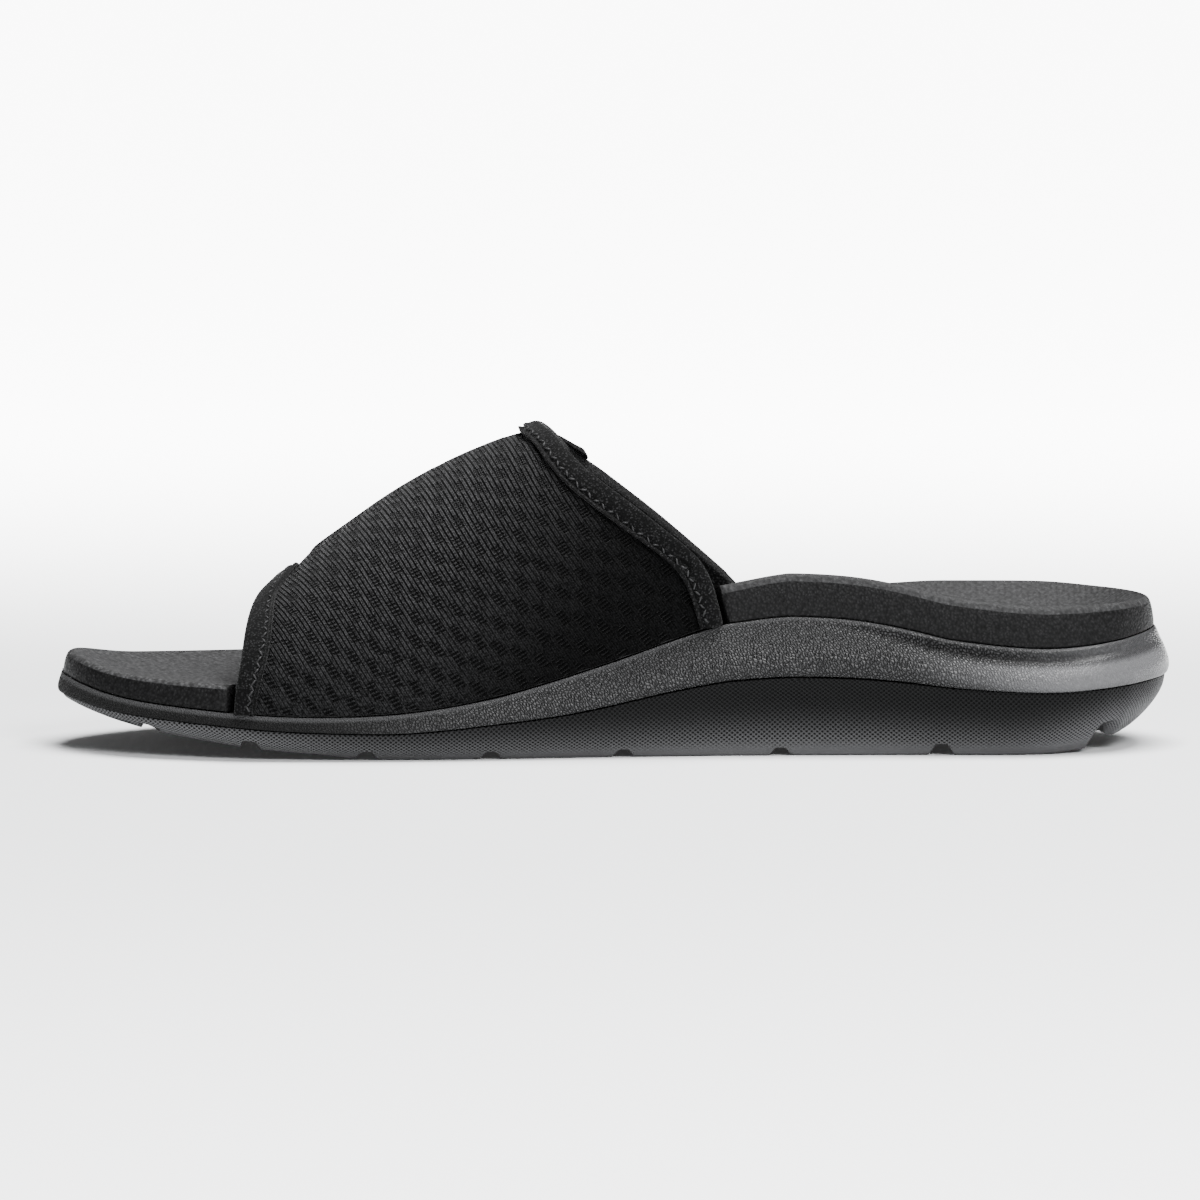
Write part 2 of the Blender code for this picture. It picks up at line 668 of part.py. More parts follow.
def make_upper(material):
    bm, numbered = grid(len(TURNS), len(BACKS))
    for vert, column, row in numbered:
        vert.co = band_point(TURNS[column], BACKS[row])
    turn_outward(bm)
    wall = finish("upper", bm, material).modifiers.new("wall", "SOLIDIFY")
    wall.thickness = WALL
    wall.offset = -1
    wall.use_even_offset = True
    wall.use_quality_normals = True


def make_binding(name, edge_back, full_width, thickness, material):
    """A strip folded over one edge of the band, with a raised seam along its outer side."""
    Fold = namedtuple("Fold", "width past out")
    outside = GAP + thickness
    inside = -(WALL + GAP)
    turned = GAP + thickness
    drop = thickness * FOLD_DROP
    folds = [  # once round the strip's section; width is a share of the strip's own width there
        Fold(-1, 0, GAP),
        Fold(-1, 0, outside + SEAM_RIDGE),
        Fold(-1, SEAM_WIDTH, outside + SEAM_RIDGE),
        Fold(-1, SEAM_FOOT, outside),
        Fold(BINDING_FLAT - 1, 0, outside),
        Fold(0, turned * FOLD_SHOULDER, outside - drop),
        Fold(0, turned, -WALL * FOLD_NOSE),
        Fold(0, turned, -WALL * (1 - FOLD_NOSE)),
        Fold(0, turned * FOLD_SHOULDER, inside - thickness + drop),
        Fold(BINDING_FLAT - 1, 0, inside - thickness),
        Fold(-1, 0, inside - thickness),
        Fold(-1, 0, inside),
        Fold(0, GAP, inside),
        Fold(0, GAP, GAP),
    ]
    bm = bmesh.new()
    sections = []
    for turn in TURNS:
        from_widest = abs(min(turn, 1 - turn) - BINDING_WIDEST) / BINDING_SPREAD
        width = full_width * mix(BINDING_NARROW, 1, ease(1 - from_widest))
        places = [band_place(turn, edge_back, fold.width * width + fold.past, fold.out) for fold in folds]
        sections.append([bm.verts.new(place) for place in places])
    for section, following in zip(sections, sections[1:]):
        for k in range(len(folds)):
            other = (k + 1) % len(folds)
            bm.faces.new((section[k], section[other], following[other], following[k]))
    for section in (sections[0], sections[-1]):
        bm.faces.new(section)
    bmesh.ops.recalc_face_normals(bm, faces=bm.faces)
    finish(name, bm, material)


def flap_front(turn):
    """Where the flap's front edge lies, as a distance past the collar."""
    return FLAP_FRONT_MARGIN - (band_point(turn, 1) - band_point(turn, 0)).length


def flap_rows():
    """Distances past the collar at which the flap's free end has a row, front to rear."""
    front = flap_front(FLAP_END)
    facet = math.pi / 2 / FLAP_CORNER_ROWS
    quarter = [FLAP_CORNER * (1 - math.cos(facet * k)) for k in range(FLAP_CORNER_ROWS + 1)]
    step = -COLLAR_BAND_WIDTH - FLAP_STEP
    counts = range(1, FLAP_MIDDLE_ROWS + 1)
    middle = [mix(front + FLAP_CORNER, step, k / FLAP_MIDDLE_ROWS) for k in counts]
    counts = range(1, FLAP_REAR_ROWS)
    rear = [mix(step, FLAP_OVERHANG - FLAP_CORNER, k / FLAP_REAR_ROWS) for k in counts]
    corners = [front + far for far in quarter], [FLAP_OVERHANG - far for far in reversed(quarter)]
    return [*corners[0], *middle, *rear, *corners[1]]


def flap_point(past, share, rows, out):
    """A point of the flap. share runs from its root on the crown 0 to its free end 1; out 0 is below."""
    corner = max(0.0, 1 - min(past - rows[0], rows[-1] - past) / FLAP_CORNER)
    girth = (band_point(FLAP_END, 1) - band_point(FLAP_START, 1)).length / (FLAP_END - FLAP_START)
    cut = FLAP_CORNER * (1 - math.sqrt(max(0.0, 1 - corner * corner))) / girth
    turn = mix(FLAP_START, FLAP_END - cut, share)
    root_rear = -COLLAR_BAND_WIDTH - FLAP_STEP
    rear = mix(root_rear, FLAP_OVERHANG, ease(share))
    past = mix(flap_front(turn), rear, (past - rows[0]) / (rows[-1] - rows[0]))
    over_binding = GAP + COLLAR_BAND_THICKNESS + SEAM_RIDGE
    rise = ease((past + COLLAR_BAND_WIDTH + FLAP_STEP) / (FLAP_STEP - 2 * GAP))
    droop = FLAP_DROOP * ease(past / FLAP_OVERHANG)
    from_front = past - flap_front(turn)
    thickness = FLAP_THICKNESS * mix(FLAP_ROOT_SHARE, 1, ease(share) * ease(from_front / FLAP_TAPER))
    out = GAP + over_binding * rise - droop + out * thickness
    if past > -COLLAR_BAND_WIDTH:
        return band_place(turn, 1, past, out)
    place, _, normal = band_frame(turn, 1 + past / (band_point(turn, 1) - band_point(turn, 0)).length)
    return place + normal * out


def border(rows):
    """The vertices round a grid, in order."""
    right = [row[-1] for row in rows[1:-1]]
    left = [row[0] for row in rows[-2:0:-1]]
    return [*rows[0], *right, *reversed(rows[-1]), *left]


def make_flap(material):
    """Free end of the medial side of the band, laid over the crown and closed with hook and loop."""
    rows = flap_rows()
    shares = [k / FLAP_COLUMNS for k in range(FLAP_COLUMNS + 1)]
    bm = bmesh.new()
    borders = []
    for out in (0, 1):
        verts = [[bm.verts.new(flap_point(past, share, rows, out)) for share in shares] for past in rows]
        borders.append(border(verts))
        for row, following in zip(verts, verts[1:]):
            for k in range(FLAP_COLUMNS):
                bm.faces.new((row[k], row[k + 1], following[k + 1], following[k]))
    under, over = borders
    for k in range(len(under)):
        following = (k + 1) % len(under)
        bm.faces.new((under[k], under[following], over[following], over[k]))
    bmesh.ops.recalc_face_normals(bm, faces=bm.faces)
    finish("closure_flap", bm, material)


for old in list(bpy.data.objects):
    bpy.data.objects.remove(old)
sandal = bpy.data.collections.new("sport_slide_sandal")
bpy.context.scene.collection.children.link(sandal)

make_outsole()
make_midsole()
make_footbed()
knit = make_material("knit", BLACK_KNIT, 0.85)
binding = make_material("binding", BLACK_FOAM, 0.8)
make_upper(knit)
make_binding("toe_binding", 0, TOE_BAND_WIDTH, TOE_BAND_THICKNESS, binding)
make_binding("collar_binding", 1, COLLAR_BAND_WIDTH, COLLAR_BAND_THICKNESS, binding)
make_flap(knit)
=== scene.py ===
import json
import math

import bmesh
import bpy
from mathutils import Matrix, Vector
from mathutils.bvhtree import BVHTree

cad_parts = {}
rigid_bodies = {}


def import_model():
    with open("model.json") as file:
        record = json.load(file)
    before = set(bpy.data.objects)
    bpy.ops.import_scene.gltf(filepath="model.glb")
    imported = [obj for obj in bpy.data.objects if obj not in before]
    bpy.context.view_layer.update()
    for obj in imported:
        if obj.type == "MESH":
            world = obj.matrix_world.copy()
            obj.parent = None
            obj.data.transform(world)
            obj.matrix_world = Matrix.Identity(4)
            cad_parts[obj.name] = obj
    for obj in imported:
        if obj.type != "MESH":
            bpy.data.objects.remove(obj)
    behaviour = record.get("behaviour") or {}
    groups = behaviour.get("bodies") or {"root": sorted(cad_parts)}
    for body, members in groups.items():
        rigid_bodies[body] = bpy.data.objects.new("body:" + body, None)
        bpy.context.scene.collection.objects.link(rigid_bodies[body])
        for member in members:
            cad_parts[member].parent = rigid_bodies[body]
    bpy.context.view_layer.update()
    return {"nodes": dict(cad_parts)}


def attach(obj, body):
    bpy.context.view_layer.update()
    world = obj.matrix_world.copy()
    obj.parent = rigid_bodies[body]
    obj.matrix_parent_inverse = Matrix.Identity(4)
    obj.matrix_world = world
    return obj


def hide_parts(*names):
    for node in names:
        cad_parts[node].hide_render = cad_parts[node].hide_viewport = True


# the scene starts empty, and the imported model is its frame
for old in list(bpy.data.objects):
    bpy.data.objects.remove(old)
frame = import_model()
print("frame loaded:", ", ".join(sorted(frame["nodes"])))


# small helpers

def ease(share):
    share = min(max(share, 0.0), 1.0)
    return share * share * (3 - 2 * share)


def hump(place, middle, halfWidth):
    # 1 at the middle, falling softly to 0 half a width away
    return ease(1 - abs(place - middle) / halfWidth)


def cadMesh(nodeName):
    # a node's loose triangles, merged and joined back to quads
    bm = bmesh.new()
    bm.from_mesh(frame["nodes"][nodeName].data)
    bmesh.ops.remove_doubles(bm, verts=bm.verts, dist=0.00001)
    bmesh.ops.join_triangles(
        bm, faces=bm.faces, angle_face_threshold=math.radians(60),
        angle_shape_threshold=math.pi, topology_influence=1.0,
    )
    bm.normal_update()
    return bm


def creaseEdges(bm, above, amount):
    # edges sharper than this angle keep some of their sharpness in the subdivision
    crease = bm.edges.layers.float.get("crease_edge") or bm.edges.layers.float.new("crease_edge")
    for edge in bm.edges:
        if len(edge.link_faces) == 2 and edge.calc_face_angle() > above:
            edge[crease] = amount


def addPiece(bm, name, materials):
    mesh = bpy.data.meshes.new(name)
    bm.to_mesh(mesh)
    bm.free()
    for material in materials:
        mesh.materials.append(material)
    mesh.shade_smooth()
    piece = bpy.data.objects.new(name, mesh)
    bpy.context.scene.collection.objects.link(piece)
    return piece


def subdivide(piece, levels):
    smooth = piece.modifiers.new("smooth", "SUBSURF")
    smooth.levels = levels
    smooth.render_levels = levels


def applyModifiers(piece):
    graph = bpy.context.evaluated_depsgraph_get()
    mesh = bpy.data.meshes.new_from_object(piece.evaluated_get(graph))
    piece.modifiers.clear()
    piece.data = mesh


def handOver(piece, slotName, *nodeNames):
    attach(piece, "root")
    if nodeNames:
        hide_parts(*nodeNames)


# node helpers for the materials

def startMaterial(name, colour, roughness, specular):
    material = bpy.data.materials.new(name)
    material.use_nodes = True
    surface = material.node_tree.nodes["Principled BSDF"]
    surface.inputs["Base Color"].default_value = (*colour, 1.0)
    surface.inputs["Roughness"].default_value = roughness
    surface.inputs["Specular IOR Level"].default_value = specular
    return material, material.node_tree, surface


def addNode(tree, kind, settings=None, **inputs):
    node = tree.nodes.new(kind)
    for key, value in (settings or {}).items():
        setattr(node, key, value)
    for key, value in inputs.items():
        socket = node.inputs[key]
        if isinstance(value, bpy.types.NodeSocket):
            tree.links.new(value, socket)
        else:
            socket.default_value = value
    return node


def maths(tree, operation, *values):
    node = tree.nodes.new("ShaderNodeMath")
    node.operation = operation
    for socket, value in zip(node.inputs, values):
        if isinstance(value, bpy.types.NodeSocket):
            tree.links.new(value, socket)
        else:
            socket.default_value = value
    return node.outputs[0]


def times(tree, value, factor):
    return maths(tree, "MULTIPLY", value, factor)


def rescale(tree, value, factor, added):
    return maths(tree, "MULTIPLY_ADD", value, factor, added)


def fromOne(tree, value):
    return maths(tree, "SUBTRACT", 1.0, value)


def objectPlace(tree):
    return addNode(tree, "ShaderNodeTexCoord").outputs["Object"]


def noise(tree, place, size, detail=2.0):
    # size is the width of one blob, in metres
    node = addNode(tree, "ShaderNodeTexNoise", Vector=place, Scale=1 / size, Detail=detail)
    return node.outputs["Fac"]


def pebbles(tree, place, size):
    # rounded grains of this width
    node = addNode(
        tree, "ShaderNodeTexVoronoi", {"feature": "SMOOTH_F1"},
        Vector=place, Scale=1 / size, Smoothness=0.45,
    )
    return fromOne(tree, node.outputs["Distance"])


def band(tree, value, low, high):
    # 0 below low, 1 above high, soft between
    node = addNode(tree, "ShaderNodeMapRange", {"interpolation_type": "SMOOTHSTEP"}, Value=value)
    node.inputs["From Min"].default_value = low
    node.inputs["From Max"].default_value = high
    return node.outputs["Result"]


def bump(tree, surface, height, depth):
    # height runs from 0 to 1, and depth is what 1 stands for, in metres
    node = addNode(tree, "ShaderNodeBump", Height=height, Distance=depth, Strength=1.0)
    tree.links.new(node.outputs["Normal"], surface.inputs["Normal"])


def shade(tree, surface, share, low, high, target="Base Color"):
    # a socket that runs between two colours or two numbers
    if target == "Base Color":
        node = addNode(tree, "ShaderNodeMix", {"data_type": "RGBA"})
        tree.links.new(share, node.inputs["Factor"])
        node.inputs[6].default_value = (*low, 1.0)
        node.inputs[7].default_value = (*high, 1.0)
        tree.links.new(node.outputs[2], surface.inputs[target])
    else:
        node = addNode(tree, "ShaderNodeMapRange", Value=share)
        node.inputs["To Min"].default_value = low
        node.inputs["To Max"].default_value = high
        tree.links.new(node.outputs["Result"], surface.inputs[target])


def grey(level):
    return (level, level, level * 1.03)


# foams of the sole

soleFinish = {
    "pebbleWide": 0.00068,
    "pebbleLong": 0.00115,
    "pebbleTilt": math.radians(-55),
    "pebbleDepth": 0.00028,
    "pebbleShades": (grey(0.0008), grey(0.105)),
    "pebbleSmooth": (-0.125, -0.090),  # lengthways, where the pebbles fade out toward the heel
    # where painted shade darkens the strip at the toe
    "paintedShadeStrip": (0.030, 0.085),  # and where the strip at the toe darkens
    "paintedLedgeHighlight": (0.0006, 0.0016),  # under the rim, a painted highlight along the ledge
    # where the painted highlight lies on the heel's lip
    "lipHighlightTop": (0.0042, 0.0064),
    "lipHighlightFoot": (0.0095, 0.0125),
    "lipHighlightFade": (-0.112, -0.070),
    "ledgeHeight": 0.00025,  # round the heel, a ledge, a channel and a lip, by depth under the rim
    "ledgeAt": 0.0010,
    "ledgeHalfWidth": 0.0010,
    "channelDepth": 0.00110,
    "channelAt": 0.0027,
    "channelHalfWidth": 0.0016,
    "lipHeight": 0.00120,
    "lipAt": 0.0090,
    "lipHalfWidth": 0.0056,
    "reliefStart": -0.045,  # lengthways, where the heel's relief starts and ends
    "reliefFadeIn": 0.040,
    "reliefEnd": -0.139,
    "reliefFadeOut": 0.026,
    "diamondSize": 0.00136,
    "diamondDepth": 0.00028,
    "diamondShades": (grey(0.0008), grey(0.100)),
    "rubbedAndLitEdge": (-0.003, 0.002),  # up the outsole's wall, where its lowest edge is smooth
    # how far up the wall the painted light of the floor's bounce reaches
    "paintedFloorBounce": (-0.006, 0.018),
    "toeSpring": (0.050, 0.150),  # lengthways, where the sole rises off the floor, and how far
    "toeRise": 0.014,
    "heelSpring": (-0.150, -0.100),
    "heelRise": 0.012,
    "heelEdgeFrom": -0.1255,
    "heelEdgeHeight": 0.0038,
    "stippleSize": 0.0007,
    "stippleDepth": 0.00022,
    "treadShades": (grey(0.006), grey(0.014)),
    "wallShades": (grey(0.0012), grey(0.038)),
    # the painted shade down the footbed's wall, and the painted highlight along its rim
    "paintedWallShade": (0.0, 0.016),
    "rimHighlight": (0.0005, 0.0015),
    "hexSize": 0.0015,
    "topDepth": 0.00026,
    "topShades": (grey(0.006), grey(0.078)),
    "topForefoot": (-0.030, 0.020),
    "flatFacing": 0.85,  # how far up a face looks that counts as flat, and as the footbed's top
    "topFacing": 0.40,
    "wallFacing": 0.82,
    "sideFacing": 0.25,
    "outsoleCrease": (math.radians(28), 0.75),  # the angle from which edges stay sharp, and how sharp
    "midsoleCrease": (math.radians(38), 0.72),
    "footbedCrease": (math.radians(50), 0.55),
    "subdivisions": 3,
}


def pebbledFoam():
    # the midsole: leathery pebbles, longer than wide and tilted, semi-gloss, finer round the heel
    material, tree, surface = startMaterial("pebbledFoam", grey(0.014), 0.30, 0.18)
    place = objectPlace(tree)
    uv = addNode(tree, "ShaderNodeUVMap", {"uv_map": "wall"})
    warp = addNode(tree, "ShaderNodeTexNoise", Vector=place, Scale=900.0).outputs["Color"]
    warp = addNode(tree, "ShaderNodeVectorMath", {"operation": "SCALE"}, Vector=warp, Scale=0.0002)
    moved = addNode(tree, "ShaderNodeVectorMath", {"operation": "ADD"})
    tree.links.new(uv.outputs["UV"], moved.inputs[0])
    tree.links.new(warp.outputs[0], moved.inputs[1])
    turned = addNode(tree, "ShaderNodeMapping", {"vector_type": "TEXTURE"}, Vector=moved.outputs[0])
    turned.inputs["Rotation"].default_value = (0.0, 0.0, soleFinish["pebbleTilt"])
    turned.inputs["Scale"].default_value = (soleFinish["pebbleLong"], soleFinish["pebbleWide"], 1.0)
    cells = addNode(
        tree, "ShaderNodeTexVoronoi", {"feature": "DISTANCE_TO_EDGE", "voronoi_dimensions": "2D"},
        Vector=turned.outputs[0], Scale=1.0,
    )
    cells.inputs["Randomness"].default_value = 0.85
    grains = band(tree, cells.outputs["Distance"], 0.0, 0.34)
    lengthways = addNode(tree, "ShaderNodeSeparateXYZ", Vector=place).outputs["X"]
    strength = rescale(tree, band(tree, lengthways, *soleFinish["pebbleSmooth"]), 0.80, 0.20)
    bump(tree, surface, times(tree, grains, strength), soleFinish["pebbleDepth"])
    # painted shade: the thin strip at the toe is painted darker, and the grooves between the pebbles
    # are painted nearly black, leaving painted highlights on the pebble tops
    toward = fromOne(tree, band(tree, lengthways, *soleFinish["paintedShadeStrip"]))
    sunk = times(tree, fromOne(tree, grains), strength)
    speckle = rescale(tree, noise(tree, place, 0.0009), 1.2, 0.2)
    tops = times(tree, fromOne(tree, sunk), speckle)
    tops = times(tree, tops, rescale(tree, toward, 0.97, 0.03))
    # a painted highlight along the ledge under the top rim
    rim = addNode(tree, "ShaderNodeUVMap", {"uv_map": "rim"})
    under = addNode(tree, "ShaderNodeSeparateXYZ", Vector=rim.outputs["UV"]).outputs["X"]
    ledge = fromOne(tree, band(tree, under, *soleFinish["paintedLedgeHighlight"]))
    tops = maths(tree, "MAXIMUM", tops, times(tree, ledge, 0.8))
    # and a painted highlight on the lip round the heel
    lipHighlightTop = band(tree, under, *soleFinish["lipHighlightTop"])
    lip = times(tree, lipHighlightTop, fromOne(tree, band(tree, under, *soleFinish["lipHighlightFoot"])))
    lip = times(tree, lip, fromOne(tree, band(tree, lengthways, *soleFinish["lipHighlightFade"])))
    tops = maths(tree, "ADD", times(tree, tops, 0.40), times(tree, lip, 0.60))
    shade(tree, surface, tops, *soleFinish["pebbleShades"])
    dull = rescale(tree, toward, -0.82, 0.82)
    dull = rescale(tree, noise(tree, place, 0.006), 0.18, dull)
    shade(tree, surface, dull, 0.26, 0.80, "Roughness")
    return material


def diamondFoam():
    # the outsole's walls: a net of fine raised threads with small pits between, fading to the edges
    material, tree, surface = startMaterial("diamondFoam", grey(0.012), 0.50, 0.06)
    uv = addNode(tree, "ShaderNodeUVMap", {"uv_map": "wall"})
    parts = addNode(tree, "ShaderNodeSeparateXYZ", Vector=uv.outputs["UV"])
    along, up = parts.outputs["X"], parts.outputs["Y"]
    size = soleFinish["diamondSize"]
    rising, falling = maths(tree, "ADD", along, up), maths(tree, "SUBTRACT", along, up)
    rising = maths(tree, "PINGPONG", maths(tree, "DIVIDE", rising, size), 0.5)
    falling = maths(tree, "PINGPONG", maths(tree, "DIVIDE", falling, size), 0.5)
    pits = times(tree, times(tree, rising, 4.0), falling)
    net = fromOne(tree, band(tree, pits, 0.08, 0.65))
    # the lowest edge is rubbed smooth and painted paler, and painted light from the floor's bounce
    # makes the foam paler toward the floor, with painted shade higher up under the midsole; the net's
    # colour follows its relief, with painted shade in the pits
    rubbedAndLit = fromOne(tree, band(tree, up, *soleFinish["rubbedAndLitEdge"]))
    shown = rescale(tree, rubbedAndLit, maths(tree, "SUBTRACT", 0.8, net), net)
    bump(tree, surface, shown, soleFinish["diamondDepth"])
    lengthways = addNode(tree, "ShaderNodeSeparateXYZ", Vector=objectPlace(tree)).outputs["X"]
    spring = times(tree, band(tree, lengthways, *soleFinish["toeSpring"]), soleFinish["toeRise"])
    raised = fromOne(tree, band(tree, lengthways, *soleFinish["heelSpring"]))
    spring = rescale(tree, raised, soleFinish["heelRise"], spring)
    up = maths(tree, "SUBTRACT", up, spring)
    pale = maths(tree, "POWER", fromOne(tree, band(tree, up, *soleFinish["paintedFloorBounce"])), 2.4)
    pale = times(tree, rescale(tree, pale, 0.94, 0.06), shown)
    shade(tree, surface, pale, *soleFinish["diamondShades"])
    shade(tree, surface, noise(tree, objectPlace(tree), 0.009), 0.44, 0.56, "Roughness")
    return material


def treadFoam():
    # grooves and ground faces: plain satin foam with a faint stipple
    material, tree, surface = startMaterial("treadFoam", grey(0.010), 0.55, 0.10)
    place = objectPlace(tree)
    grain = noise(tree, place, soleFinish["stippleSize"], 3.0)
    bump(tree, surface, grain, soleFinish["stippleDepth"])
    shade(tree, surface, noise(tree, place, 0.012), *soleFinish["treadShades"])
    return material


def stippledFoam():
    # the footbed's wall: matt, finely stippled, in painted shade downward, with a thin painted
    # highlight along its rim
    material, tree, surface = startMaterial("stippledFoam", grey(0.010), 0.62, 0.10)
    place = objectPlace(tree)
    uv = addNode(tree, "ShaderNodeUVMap", {"uv_map": "rim"})
    under = addNode(tree, "ShaderNodeSeparateXYZ", Vector=uv.outputs["UV"]).outputs["X"]
    stipple = pebbles(tree, place, soleFinish["stippleSize"])
    patches = rescale(tree, noise(tree, place, 0.0012, 2.0), 1.2, 0.3)
    stipple = times(tree, stipple, patches)
    bump(tree, surface, stipple, soleFinish["stippleDepth"])
    high = fromOne(tree, band(tree, under, *soleFinish["paintedWallShade"]))
    line = fromOne(tree, band(tree, under, *soleFinish["rimHighlight"]))
    pale = times(tree, maths(tree, "POWER", stipple, 2.0), rescale(tree, high, 0.95, 0.35))
    pale = maths(tree, "MAXIMUM", pale, times(tree, line, 0.9))
    shade(tree, surface, pale, *soleFinish["wallShades"])
    shade(tree, surface, noise(tree, place, 0.010), 0.52, 0.66, "Roughness")
    return material


def wave(tree, parts, across, along, size):
    # a row of soft ridges square to the direction (across, along)
    sideways = times(tree, parts.outputs["X"], across * 2 * math.pi / size)
    onward = times(tree, parts.outputs["Y"], along * 2 * math.pi / size)
    return maths(tree, "COSINE", maths(tree, "ADD", sideways, onward))


def topFoam():
    # the footbed's top: a fine stipple, with faint small hexagons in the heel cup
    material, tree, surface = startMaterial("topFoam", grey(0.022), 0.72, 0.20)
    place = objectPlace(tree)
    parts = addNode(tree, "ShaderNodeSeparateXYZ", Vector=place)
    half, high = 0.5, math.sqrt(3) / 2
    size = soleFinish["hexSize"]
    waves = maths(tree, "ADD", wave(tree, parts, 1, 0, size), wave(tree, parts, half, high, size))
    waves = maths(tree, "ADD", waves, wave(tree, parts, half, -high, size))
    forefoot = band(tree, parts.outputs["X"], *soleFinish["topForefoot"])
    hexagons = times(tree, band(tree, waves, -1.4, 0.6), fromOne(tree, forefoot))
    grains = pebbles(tree, place, 0.0009)
    stipple = times(tree, grains, band(tree, noise(tree, place, 0.0011, 2.0), 0.2, 0.8))
    relief = rescale(tree, hexagons, 0.15, stipple)
    bump(tree, surface, relief, soleFinish["topDepth"])
    pale = times(tree, relief, rescale(tree, forefoot, 0.55, 0.45))
    shade(tree, surface, pale, *soleFinish["topShades"])
    return material


def isTopFace(face):
    return face.normal.z > soleFinish["topFacing"]


def outlineLoop(bm, facing, level):
    # the line where a piece's flat face, above or below, meets its wall, anticlockwise
    flat = {face for face in bm.faces if face.normal.z * facing > level}
    edges = {edge for face in flat for edge in face.edges}
    rim = {edge for edge in edges if sum(other in flat for other in edge.link_faces) == 1}
    vert = max((vert for edge in rim for vert in edge.verts), key=lambda vert: vert.co.x)
    loop, used = [], set()
    while vert:
        loop.append(vert.co.copy())
        edge = next((edge for edge in vert.link_edges if edge in rim and edge not in used), None)
        if edge is None:
            break
        used.add(edge)
        vert = edge.other_vert(vert)
    area = sum(here.xy.cross(there.xy) for here, there in zip(loop, loop[1:]))
    return loop if area > 0 else loop[::-1]


def toLine(co, line):
    # distance from a point to a chain of points
    nearest = 1.0
    for here, there in zip(line, line[1:]):
        side = there - here
        share = min(1.0, max(0.0, (co - here).dot(side) / side.length_squared))
        nearest = min(nearest, (co - here - side * share).length)
    return nearest


def rimMap(bm, level):
    # a UV map that holds the distance down from the top rim
    line = outlineLoop(bm, 1, level)
    layer = bm.loops.layers.uv.new("rim")
    under = {vert: toLine(vert.co, line) for vert in bm.verts}
    for face in bm.faces:
        for corner in face.loops:
            corner[layer].uv = (under[corner.vert], 0.0)


def heelRelief(piece):
    # the ledge, channel and lip round the midsole's heel
    mesh = piece.data
    rims = mesh.uv_layers["rim"].data
    under = {loop.vertex_index: rims[loop.index].uv.x for loop in mesh.loops}
    moves = []
    for vertex in mesh.vertices:
        starting = (soleFinish["reliefStart"] - vertex.co.x) / soleFinish["reliefFadeIn"]
        ending = (vertex.co.x - soleFinish["reliefEnd"]) / soleFinish["reliefFadeOut"]
        heel = ease(starting) * ease(ending)
        facing = ease((1 - abs(vertex.normal.z)) / 0.4)
        if heel * facing > 0:
            depth = under[vertex.index]
            ledge = hump(depth, soleFinish["ledgeAt"], soleFinish["ledgeHalfWidth"])
            channel = hump(depth, soleFinish["channelAt"], soleFinish["channelHalfWidth"])
            lip = hump(depth, soleFinish["lipAt"], soleFinish["lipHalfWidth"])
            height = ledge * soleFinish["ledgeHeight"] - channel * soleFinish["channelDepth"]
            height += lip * soleFinish["lipHeight"]
            moves.append((vertex.index, vertex.normal * (height * heel * facing)))
    for k, move in moves:
        mesh.vertices[k].co += move


def wallMap(bm, facing):
    # a UV map in metres: the way round the sole, and up its wall
    loop = outlineLoop(bm, facing, soleFinish["flatFacing"])
    runs = [0.0]
    for here, there in zip(loop, loop[1:]):
        runs.append(runs[-1] + (there - here).xy.length)
    scale = round(runs[-1] / soleFinish["diamondSize"]) * soleFinish["diamondSize"] / runs[-1]

    def onLoop(co):
        best = (1.0, 0.0)
        for k in range(len(loop) - 1):
            side = (loop[k + 1] - loop[k]).xy
            share = min(1.0, max(0.0, (co - loop[k]).xy.dot(side) / side.length_squared))
            away = (co - loop[k]).xy - side * share
            best = min(best, (away.length, runs[k] + share * side.length))
        return best

    layer = bm.loops.layers.uv.new("wall")
    nearest = {vert: onLoop(vert.co) for vert in bm.verts}
    for face in bm.faces:
        ways = [nearest[vert][1] for vert in face.verts]
        wraps = max(ways) - min(ways) > runs[-1] / 2
        for corner in face.loops:
            far, run = nearest[corner.vert]
            if wraps and run < runs[-1] / 2:
                run += runs[-1]
            corner[layer].uv = (run * scale, corner.vert.co.z - far * facing)


def makeOutsole():
    bm = cadMesh("outsole")
    # the foam behind the heel's groove ends above the floor, in a blunt edge
    for vert in bm.verts:
        if vert.co.x < soleFinish["heelEdgeFrom"]:
            vert.co.z = max(vert.co.z, soleFinish["heelEdgeHeight"])
    bm.normal_update()
    wallMap(bm, 1)
    for face in bm.faces:
        upright = abs(face.normal.z) < soleFinish["wallFacing"]
        aside = abs(face.normal.y) > soleFinish["sideFacing"]
        face.material_index = 0 if upright or aside else 1
    creaseEdges(bm, *soleFinish["outsoleCrease"])
    piece = addPiece(bm, "outsoleMoulding", [diamondFoam(), treadFoam()])
    subdivide(piece, soleFinish["subdivisions"])
    handOver(piece, "outsole_foam", "outsole")


def makeMidsole():
    bm = cadMesh("midsole")
    wallMap(bm, -1)
    rimMap(bm, soleFinish["flatFacing"])
    creaseEdges(bm, *soleFinish["midsoleCrease"])
    piece = addPiece(bm, "midsoleMoulding", [pebbledFoam()])
    subdivide(piece, soleFinish["subdivisions"])
    applyModifiers(piece)
    heelRelief(piece)
    handOver(piece, "midsole_foam", "midsole")


def makeFootbed():
    bm = cadMesh("footbed")
    for face in bm.faces:
        face.material_index = 1 if isTopFace(face) else 0
    rimMap(bm, soleFinish["topFacing"])
    creaseEdges(bm, *soleFinish["footbedCrease"])
    piece = addPiece(bm, "footbedMoulding", [stippledFoam(), topFoam()])
    subdivide(piece, soleFinish["subdivisions"])
    handOver(piece, "footbed_foam", "footbed")


makeOutsole()
makeMidsole()
makeFootbed()
print("sole made")


# the knit band

